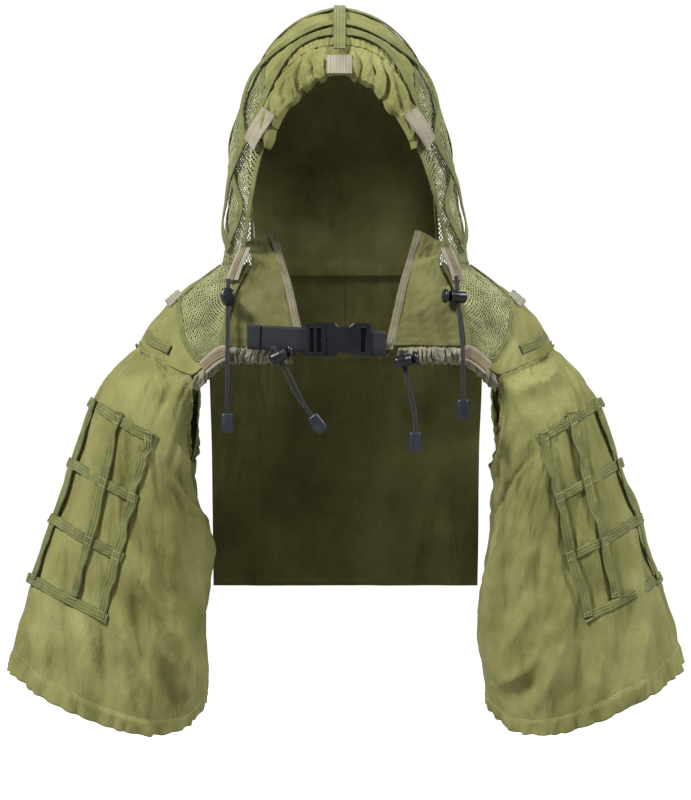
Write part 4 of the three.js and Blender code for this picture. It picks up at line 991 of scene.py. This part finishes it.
def casingMap(u, v):  # along the yoke's lower edge by u, hanging 17 mm below it by v
    p = yokePoint(mix(21, 56, u), np.ones_like(u))
    p[..., 1] += 3.4 * (1 - smooth(0, 0.25, u))
    p[..., 2] -= 0.8 + 17 * (1 - v)
    return p


yoke = {"round": 200, "down": 80, "crease": 1.4, "ringGather": 1.3, "ringGathers": 34, "hemGather": 1.0, "hemGathers": 30}
flap = {"across": 70, "down": 110, "crease": 1.5, "slant": 1.2, "bindingWidth": 8.5}
gusset = {"holesRound": 22, "holesUp": 24, "open": 0.58, "seamWidth": 6}
casing = {"along": 420, "down": 26, "gathers": 17, "swell": 2.8, "deep": 5.8, "crinkle": 1.3,
          "tabWidth": 18, "bandWidth": 11}
shoulderTapes = {  # start and end as shares of the front-to-back and downward ways, width, arch, finish and slot
    "Loop": {"from": (0.32, 0.42), "to": (0.62, 0.42), "width": 18, "arch": 2.5, "finish": tanWebbing,
             "slot": "tan_webbing"},
    "Strip": {"from": (0.12, 0.86), "to": (0.4, 0.84), "width": 10, "arch": 0.0, "finish": oliveTape, "slot": "tape"},
}
for side, sign in (("left", 1), ("right", -1)):
    mirror = np.array([sign, 1, 1])
    inside = (60 * sign, 0, -80)
    # yoke
    p, u, v = grid(yokeMap, yoke["round"], yoke["down"])
    p = p * mirror
    n = outNormals(p, inside)
    push = 1.4 + yoke["crease"] * softNoise(p[..., 0], p[..., 1], 55, 50 + sign)
    push = push + yoke["ringGather"] * (pleat(u, yoke["ringGathers"], 51 + sign) - 0.4) * np.exp(-v / 0.07)
    push += yoke["hemGather"] * (pleat(u, yoke["hemGathers"], 53 + sign) - 0.4) * np.exp(-(1 - v) / 0.09)
    clothPiece(f"yoke_{side}Cloth", p + n * push[..., None], oliveTwill, [f"yoke_{side}"], inside,
               insideShadeMaterial=insideShadeTwill)
    # neck flap with the inside of the collar showing
    p, u, v = grid(flapMap, flap["across"], flap["down"])
    p = p * mirror
    n = outNormals(p, inside)
    slant = np.sin((v * 3.2 - u * 1.7) * 3 + sign)
    push = 1.3 + flap["crease"] * softNoise(u * 75, v * 130, 46, 60 + sign) * smooth(0, 0.12, u)
    # neck flap with the inside of the collar showing, in the darker collar twill: painted shade from the hood
    push = push + flap["slant"] * slant * np.sin(math.pi * u)
    clothPiece(f"neckFlap_{side}Cloth", p + n * push[..., None], collarShadeTwill, [f"neck_flap_{side}"], inside)
    # binding folded round the flap's edge
    t = np.linspace(0.005, 0.985, 110)
    line = flapMap(0.055 + 0 * t, t) * mirror
    a = flapMap(0.14 + 0 * t, t) * mirror - line
    b = np.gradient(line, axis=0)
    normal = np.cross(a, b)
    normal /= np.linalg.norm(normal, axis=1, keepdims=True)
    normal *= np.sign(np.sum(normal * (line - np.array(inside)), axis=1, keepdims=True))
    edging = {"line": line, "normal": normal, "width": flap["bindingWidth"], "thick": 1.5, "ribs": 3, "lift": 1.8}
    tapePiece(f"neckBinding_{side}", [edging], bindingTape, [f"neck_tape_{side}"])
    # net gusset on the front of the shoulder, with finer, upright holes
    netPiece(f"shoulderNet_{side}", lambda u, v: netGusset(u, v) * mirror, gusset, [f"shoulder_mesh_{side}"], inside,
             70 + sign)
    seams = []
    for fixed in (0.0, 1.0):
        t = np.linspace(0, 1, 70)
        line = netGusset(fixed + 0 * t, t) * mirror
        a = netGusset(abs(fixed - 0.1) + 0 * t, t) * mirror - line
        normal = np.cross(a, np.gradient(line, axis=0))
        normal /= np.linalg.norm(normal, axis=1, keepdims=True)
        normal *= np.sign(np.sum(normal * (line - np.array(inside)), axis=1, keepdims=True))
        seams.append({"line": line, "normal": normal, "width": gusset["seamWidth"], "thick": 1.3, "ribs": 2, "lift": 1.8})
    tapePiece(f"gussetSeam_{side}", seams, oliveTape, ())
    # gathered casing along the chest
    p, u, v = grid(casingMap, casing["along"], casing["down"])
    p = p * mirror
    casingInside = (60 * sign, 0, -70)
    n = outNormals(p, casingInside)
    warp = 0.03 * softNoise(u * 120, v * 17, 40, 80 + sign)
    fold = pleat(u + warp + 0.02 * v, casing["gathers"], 81 + sign, 2.6)
    swell = np.sin(math.pi * np.clip(v * 0.96 + 0.02, 0, 1)) ** 0.55
    crinkle = casing["crinkle"] * softNoise(u * 120, v * 17, 12, 83)
    push = -1.0 + swell * (casing["swell"] + casing["deep"] * fold + crinkle)
    drop = np.stack([0 * u, 0 * u, 2.2 * (fold - 0.5) * (1 - 2 * v)], -1)
    clothPiece(f"chestCasing_{side}Cloth", p + n * push[..., None] + drop, greyCasing, [f"chest_casing_{side}"],
               casingInside)
    # tan tab with a brown band across the casing
    t = np.linspace(0, 1, 24)
    line = yokePoint(mix(44, 51.5, t), np.ones(24))
    line[:, 2] -= 0.8 + 7.5
    normal = yokePoint(mix(44, 51.5, t), np.ones(24)) * np.array([1, 1, 0])
    normal /= np.linalg.norm(normal, axis=1, keepdims=True)
    tab = {"line": line * mirror, "normal": normal * mirror, "width": casing["tabWidth"], "thick": 1.4, "ribs": 4,
           "lift": 8.6}
    tapePiece(f"chestTab_{side}", [tab], tanWebbing, [f"chest_tab_{side}"])
    band = {"line": (line + normal * 1.4) * mirror, "normal": normal * mirror, "width": casing["bandWidth"],
            "thick": 0.9, "ribs": 3, "lift": 8.6}
    tapePiece(f"chestTabBand_{side}", [band], brownWebbing, ())
    # webbing loop and strip on the shoulder
    for name, tape in shoulderTapes.items():
        t = np.linspace(0, 1, 30)
        psiLine = mix(60, 120, mix(tape["from"][0], tape["to"][0], t))
        tLine = mix(tape["from"][1], tape["to"][1], t)
        line = yokePoint(psiLine, tLine)
        n1 = yokePoint(psiLine + 1, tLine) - yokePoint(psiLine - 1, tLine)
        n2 = yokePoint(psiLine, tLine + 0.02) - yokePoint(psiLine, tLine - 0.02)
        normal = np.cross(n1, n2)
        normal /= np.linalg.norm(normal, axis=1, keepdims=True)
        normal *= np.sign(normal[:, 2:])
        band = {"line": line * mirror, "normal": normal * mirror, "width": tape["width"], "thick": 1.5, "ribs": 3,
                "lift": 2.6 + tape["arch"] * np.sin(math.pi * t)}
        tapePiece(f"shoulder{name}_{side}", [band], tape["finish"], [f"shoulder_{name.lower()}_{side}"])
print("shoulders and chest made")

# back panel
backInside = (0, 0, -150)


def backPanelMap(u, v):  # from the yoke's back edge straight down to the hem
    psi = mix(126, 234, u)
    side = np.where(psi > 180, -1.0, 1.0)
    top = yokePoint(np.where(psi > 180, 360 - psi, psi), np.ones_like(u))
    fall = 1 - v
    x = np.abs(top[..., 0])
    k = smooth(0, 0.4, fall)
    newX = mix(x, x * mix(0.98, 1, v), k) * side
    newY = mix(top[..., 1], 128 + 6 * np.cos((psi - 180) * deg * 1.4), k)
    return np.stack([newX, newY, mix(top[..., 2] + 7, -60 - cut["backLength"], fall)], -1)


panel = {"across": 170, "up": 170, "crease": 1.0, "hangFold": 4.5, "gather": 1.0, "gathers": 30, "hem": 0.9,
         "uprights": (0.24, 0.5, 0.76), "rows": (0.2, 0.42, 0.64, 0.86), "tapeWidth": 10}
p, u, v = grid(backPanelMap, panel["across"], panel["up"])
n = outNormals(p, backInside)
fall = 1 - v
push = 1.4 + (panel["crease"] + panel["hangFold"] * fall) * softNoise(p[..., 0], p[..., 2] * 0.25, 90, 90)
push = push + panel["gather"] * (pleat(u, panel["gathers"], 91) - 0.4) * np.exp(-fall / 0.06)
push += panel["hem"] * np.exp(-((fall - 0.985) / 0.012) ** 2) - 3.0 * (1 - smooth(0.01, 0.05, fall))
panelPoints = p + n * push[..., None]
clothPiece("backPanelCloth", panelPoints, oliveTwill, ["back_panel"], backInside,
           insideShadeMaterial=insideShadeTwill)


def onGrid(points, normals, uLine, vLine, lift=0.0):  # points and normals of a made cloth, read between its grid lines
    nu, nv = points.shape[:2]
    a, b = np.clip(uLine, 0, 1) * (nu - 1), np.clip(vLine, 0, 1) * (nv - 1)
    i, j = np.minimum(a.astype(int), nu - 2), np.minimum(b.astype(int), nv - 2)
    fa, fb = (a - i)[:, None], (b - j)[:, None]

    def read(q):  # straight between the four grid points round the place
        return (q[i, j] * (1 - fa) + q[i + 1, j] * fa) * (1 - fb) + (q[i, j + 1] * (1 - fa) + q[i + 1, j + 1] * fa) * fb

    m = read(normals)
    m = m / np.linalg.norm(m, axis=1, keepdims=True)
    return read(points) + m * lift, m


tapes = []
t = np.linspace(0, 1, 80)
for u0 in panel["uprights"]:
    line, normal = onGrid(panelPoints, n, u0 + 0 * t, mix(0.12, 0.93, t))
    tapes.append({"line": line, "normal": normal, "width": panel["tapeWidth"], "thick": 1.5, "ribs": 3, "lift": 1.6})
for v0 in panel["rows"]:
    line, normal = onGrid(panelPoints, n, mix(0.18, 0.82, t), v0 + 0 * t)
    tapes.append({"line": line, "normal": normal, "width": panel["tapeWidth"], "thick": 1.5, "ribs": 3,
                  "lift": 0.7 + 0.6 * np.sin(t * 22) ** 2})
tapePiece("backWebbingGrid", tapes, oliveTape, ["back_grid"])

# sleeves
sleeve = {
    "around": 250, "down": 186, "folds": 4.6, "gather": 2.2, "gathers": 42, "bunch": 6.5, "hemGather": 3.4,
    "hemGathers": 36, "stitchRows": (0.024, 0.078, 0.95),
}
sleeveFolds = {  # each fold from (x, z) to (x, z), then its width and height
    "right": [
        (176, -118, 150, -300, 9, 5.5), (182, -150, 168, -340, 10, 4.5), (196, -180, 172, -400, 12, 5.0),
        (215, -255, 160, -420, 11, 4.5), (240, -300, 196, -430, 13, 4.0), (292, -300, 250, -420, 14, 3.5),
        (330, -330, 296, -410, 12, 3.0), (205, -60, 178, -100, 8, 3.5), (250, -120, 262, -300, 16, 3.0),
        (170, -420, 196, -330, 9, 4.0), (300, -220, 316, -330, 14, 2.6), (160, -210, 152, -390, 8, 4.0),
    ],
    "left": [
        (170, -110, 148, -240, 9, 6.0), (182, -130, 156, -330, 10, 5.0), (205, -160, 176, -300, 10, 4.0),
        (190, -300, 162, -410, 11, 5.0), (232, -290, 200, -425, 12, 4.5), (262, -310, 246, -420, 12, 3.6),
        (312, -330, 286, -415, 12, 3.2), (214, -70, 180, -104, 8, 4.0), (240, -190, 262, -300, 14, 3.4),
        (166, -400, 214, -330, 9, 4.4), (158, -250, 156, -390, 8, 4.4), (284, -190, 306, -330, 14, 2.8),
    ],
}
gridCut = {  # tops of the three uprights as (x, z), how far out each foot stands, and the rows as shares of the height
    "top": [(258, -108), (230, -122), (199, -142)], "fall": [62, 44, 48], "height": 181, "rows": [0.0, 0.34, 0.66, 1.0],
    "width": 10.5, "thick": 1.6, "steps": 70,
}


def sleeveNormals(p):  # the closed grid's normals, turned away from each ring's middle
    n = gridNormals(p, True)
    centre = p.mean(0, keepdims=True)
    flip = np.sign(np.sum(n * (p - centre), -1).sum())
    return n * flip


def sleeveAt(points, x, z):  # nearest point of the front half of the sleeve's grid, seen from the front
    front = points[:, :, 1] < 0
    d = (points[:, :, 0] - x) ** 2 + (points[:, :, 2] - z) ** 2 + np.where(front, 0, 1e6)
    return np.unravel_index(np.argmin(d), d.shape)


def evened(values, half):  # each value averaged with the `half` on either side of it, the ends carried on straight
    share = np.ones(2 * half + 1) / (2 * half + 1)
    return np.stack([np.convolve(np.pad(c, half, "reflect", reflect_type="odd"), share, "valid") for c in values.T], -1)


def layTape(cloth, normals, start, end, ribs, lift):  # a tape laid on a sleeve by its ends as seen from the front
    t = np.linspace(0, 1, gridCut["steps"])
    xs, zs = mix(start[0], end[0], t), mix(start[1], end[1], t)
    path = evened(np.array([sleeveAt(cloth, xs[i], zs[i]) for i in range(0, gridCut["steps"], 3)], float), 2)
    along = np.linspace(0, 1, len(path))
    uLine = np.interp(t, along, path[:, 0]) / (sleeve["around"] - 1)
    vLine = np.interp(t, along, path[:, 1]) / (sleeve["down"] - 1)
    line, normal = onGrid(cloth, normals, uLine, vLine)
    for _ in range(4):
        line = evened(line, 5)
    return {"line": line, "normal": normal, "width": gridCut["width"], "thick": gridCut["thick"], "ribs": ribs,
            "lift": lift}


for side, sign in (("left", 1), ("right", -1)):
    mirror = np.array([sign, 1, 1])
    omega = np.linspace(-180, 180, sleeve["around"], endpoint=False)
    sLine = np.concatenate([[-0.03, -0.015], np.linspace(0, 1, sleeve["down"] - 2)])
    w, s = np.meshgrid(omega, sLine, indexing="ij")
    tuck = np.clip(-s / 0.03, 0, 1) * smooth(120, 90, np.abs(w))
    s = np.maximum(s, 0)
    p = sleevePoint(w, s) * mirror
    n = sleeveNormals(p)
    wr = w * deg
    # long soft folds run down the sleeve, as noise stretched along it and closed round the tube
    long = softNoise(np.cos(wr) * 70 + s * 30, np.sin(wr) * 70 + s * 22, 62, 100 + sign, 3)
    fine = softNoise(np.cos(wr) * 70 + s * 90, np.sin(wr) * 70 - s * 80, 30, 110 + sign, 3)
    push = 1.2 + (1.2 + sleeve["folds"] * smooth(0.12, 0.7, s)) * long + 2.2 * fine
    # separate folds: each is a ridge along its own line over the front of the sleeve, fading at both ends
    across, height = np.abs(p[..., 0]), p[..., 2]
    for x1, z1, x2, z2, wide, tall in sleeveFolds[side]:
        run = np.array([x2 - x1, z2 - z1], float)
        length = np.linalg.norm(run)
        run /= length
        far = ((across - x1) * run[0] + (height - z1) * run[1]) / length
        off = (across - x1) * run[1] - (height - z1) * run[0] + 5 * np.sin(far * 5 + x1)
        ends = smooth(-0.12, 0.25, far) * smooth(1.12, 0.7, far) * (p[..., 1] < 0)
        dip = 0.35 * np.exp(-((off - 1.7 * wide) / wide) ** 2)
        push += 2.0 * tall * ends * (np.exp(-np.abs(off / wide) ** 1.5) - dip)
    # cloth bunched above the armpit
    bunch = np.exp(-((np.abs(w) - 138) / 26) ** 2) * smooth(0.01, 0.05, s) * smooth(0.36, 0.22, s)
    bunchWay = s * 2.9 + 0.05 * softNoise(w, s * 200, 60, 140 + sign)
    push += bunch * (sleeve["bunch"] * pleat(bunchWay, 4, 141 + sign, 2.4) - 1.5)
    ringWay = omega[:, None] / 360 + 0.5
    gathers = pleat(ringWay + 0.004 * np.sin(9 * s), sleeve["gathers"], 120 + sign)
    push += sleeve["gather"] * (gathers - 0.4) * np.exp(-s / 0.05)
    push += 1.6 * np.exp(-((s - 0.015) / 0.012) ** 2)
    hem = smooth(0.945, 0.955, s)
    scallop = pleat(ringWay + 0.01 * softNoise(w, s * 60, 50, 150 + sign), sleeve["hemGathers"], 130 + sign)
    push += 1.3 * hem + sleeve["hemGather"] * (scallop - 0.5) * smooth(0.93, 0.985, s)
    q = p + n * (push * (1 - tuck) - 2.4 * tuck)[..., None]
    q[..., 2] += 6 * tuck + 1.3 * (0.5 - scallop) * smooth(0.96, 1, s)
    clothPiece(f"sleeve_{side}Cloth", q, oliveTwill, [f"sleeve_{side}"], q.mean((0, 1)), closed=True,
               insideShadeMaterial=insideShadeTwill)
    m = sleeveNormals(q)
    # stitch lines: two by the armhole and one above the hem
    rows = []
    for at in sleeve["stitchRows"]:
        ring = int(at * (sleeve["down"] - 1))
        ringNormals = np.vstack([m[:, ring], m[:1, ring]])
        rows.append((np.vstack([q[:, ring], q[:1, ring]]) + ringNormals * 0.25, ringNormals))
    stitchRow(f"sleeveStitch_{side}", rows, creamThread)
    # webbing grid: uprights first, then the rows over them
    tapes = []
    top, foot = gridCut["top"], gridCut["fall"]
    for (x, z), fall in zip(top, foot):
        k = fall / gridCut["height"]
        tapes.append(layTape(q, m, ((x - 5 * k) * sign, z + 5), ((x + fall) * sign, z - gridCut["height"]), 3, 3.3))
    rowLift = mix(6.0, 1.4, smooth(0, 0.14, np.linspace(0, 1, gridCut["steps"])))
    for share in gridCut["rows"]:
        outer = ((top[0][0] + foot[0] * share + 3) * sign, top[0][1] - gridCut["height"] * share + 1)
        inner = ((top[2][0] + foot[2] * share - 6) * sign, top[2][1] - gridCut["height"] * share - 2)
        tapes.append(layTape(q, m, outer, inner, 4, rowLift))
    tapePiece(f"sleeveWebbingGrid_{side}", tapes, oliveTape, [f"sleeve_grid_{side}"])
    # two bars of thread where each row crosses an upright
    tacks = []
    lastStep = gridCut["steps"] - 1
    for upright in tapes[:3]:
        for row in tapes[3:]:
            gaps = np.linalg.norm(upright["line"][:, None] - row["line"][None], axis=2)
            i, j = np.unravel_index(np.argmin(gaps), gaps.shape)
            ahead = row["line"][min(j + 2, lastStep)] - row["line"][max(j - 2, 0)]
            ahead /= np.linalg.norm(ahead)
            down = upright["line"][min(i + 2, lastStep)] - upright["line"][max(i - 2, 0)]
            down /= np.linalg.norm(down)
            normal = upright["normal"][i]
            for off in (-3.6, 3.6):
                centre = upright["line"][i] + normal * 5.3 + down * off
                bar = centre + ahead * np.linspace(-4, 4, 9)[:, None]
                tacks.append((bar, np.tile(normal, (9, 1))))
    stitchRow(f"barTacks_{side}", tacks, creamThread, pitch=1.0, length=1.3, radius=0.3)
print("sleeves made")

# chest strap and buckle
def flatStrap(points, width, z):  # a smooth line through (x, y) points, its face to the front, sloping a little
    line = np.array([(x, y, z - 0.05 * (x + 39)) for x, y in points], float)
    line = throughPoints(line, np.linspace(0, 1, 60))
    ahead = np.gradient(line, axis=0)
    normal = np.cross(ahead, [0.0, 0.0, 1.0])
    normal /= np.linalg.norm(normal, axis=1, keepdims=True)
    normal *= -np.sign(normal[:, 1:2])
    return {"line": line, "normal": normal, "width": width, "thick": strap["thick"], "ribs": 0}


strap = {
    "width": 25, "thick": 1.5, "innerWidth": 24, "innerThick": 1.0,
    "right": [(-96, -117.8), (-75, -123.2), (-56, -126.0), (-39, -126.2)],
    "rightLoop": [(-86.5, -122.6), (-92, -122.2), (-97.4, -120.6), (-98.2, -118.6), (-96, -117.0), (-88, -119.6)],
    "left": [(20, -127.4), (26, -127.2), (31, -125.6), (40.5, -118.0)],
}
rightStrap = tapePiece("chestWebbing_right", [
    flatStrap(strap["right"], strap["width"], cut["strapZ"]),
    flatStrap(strap["rightLoop"], strap["width"] + 0.6, cut["strapZ"] + 0.4),
], blackWebbing, ["chest_strap_right"])
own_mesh(rightStrap)
tapePiece("chestWebbing_left", [flatStrap(strap["left"], strap["width"], cut["strapZ"])], blackWebbing,
          ["chest_strap_left"])


def shortStrap(name, x0, x1, y, body):  # the part of the webbing seen through the slots of the buckle
    line = np.array([[x, y, cut["strapZ"]] for x in np.linspace(x0, x1, 8)])
    inner = {"line": line, "normal": np.tile([0.0, -1.0, 0.0], (8, 1)), "width": strap["innerWidth"],
             "thick": strap["innerThick"], "ribs": 0}
    tapePiece(name, [inner], blackWebbing, (), body)


shortStrap("ladderWebbing", -38, -23, -126.2, "buckle_male")
shortStrap("housingWebbing", 14, 24.5, -126.2, "root")


def mouldedCopy(node, name, body, widthMm):  # the CAD part as one welded skin with rounded edges
    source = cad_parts[node]
    bm = bmesh.new()
    bm.from_mesh(source.data)
    bmesh.ops.remove_doubles(bm, verts=bm.verts, dist=1e-6)
    bmesh.ops.dissolve_limit(bm, angle_limit=2 * deg, verts=bm.verts, edges=bm.edges)
    mesh = bpy.data.meshes.new(name)
    bm.to_mesh(mesh)
    bm.free()
    obj = bpy.data.objects.new(name, mesh)
    scene.collection.objects.link(obj)
    softSharp(obj, widthMm)
    finishPiece(obj, blackAcetal, [node], body)
    return obj


mouldedCopy("buckle_female", "buckleHousing", "root", 0.5)
mouldedCopy("buckle_male", "buckleTongue", "buckle_male", 0.45)
mouldedCopy("prong_upper", "prong_upperArm", "prong_upper", 0.35)
mouldedCopy("prong_lower", "prong_lowerArm", "prong_lower", 0.35)
print("strap and buckle made")
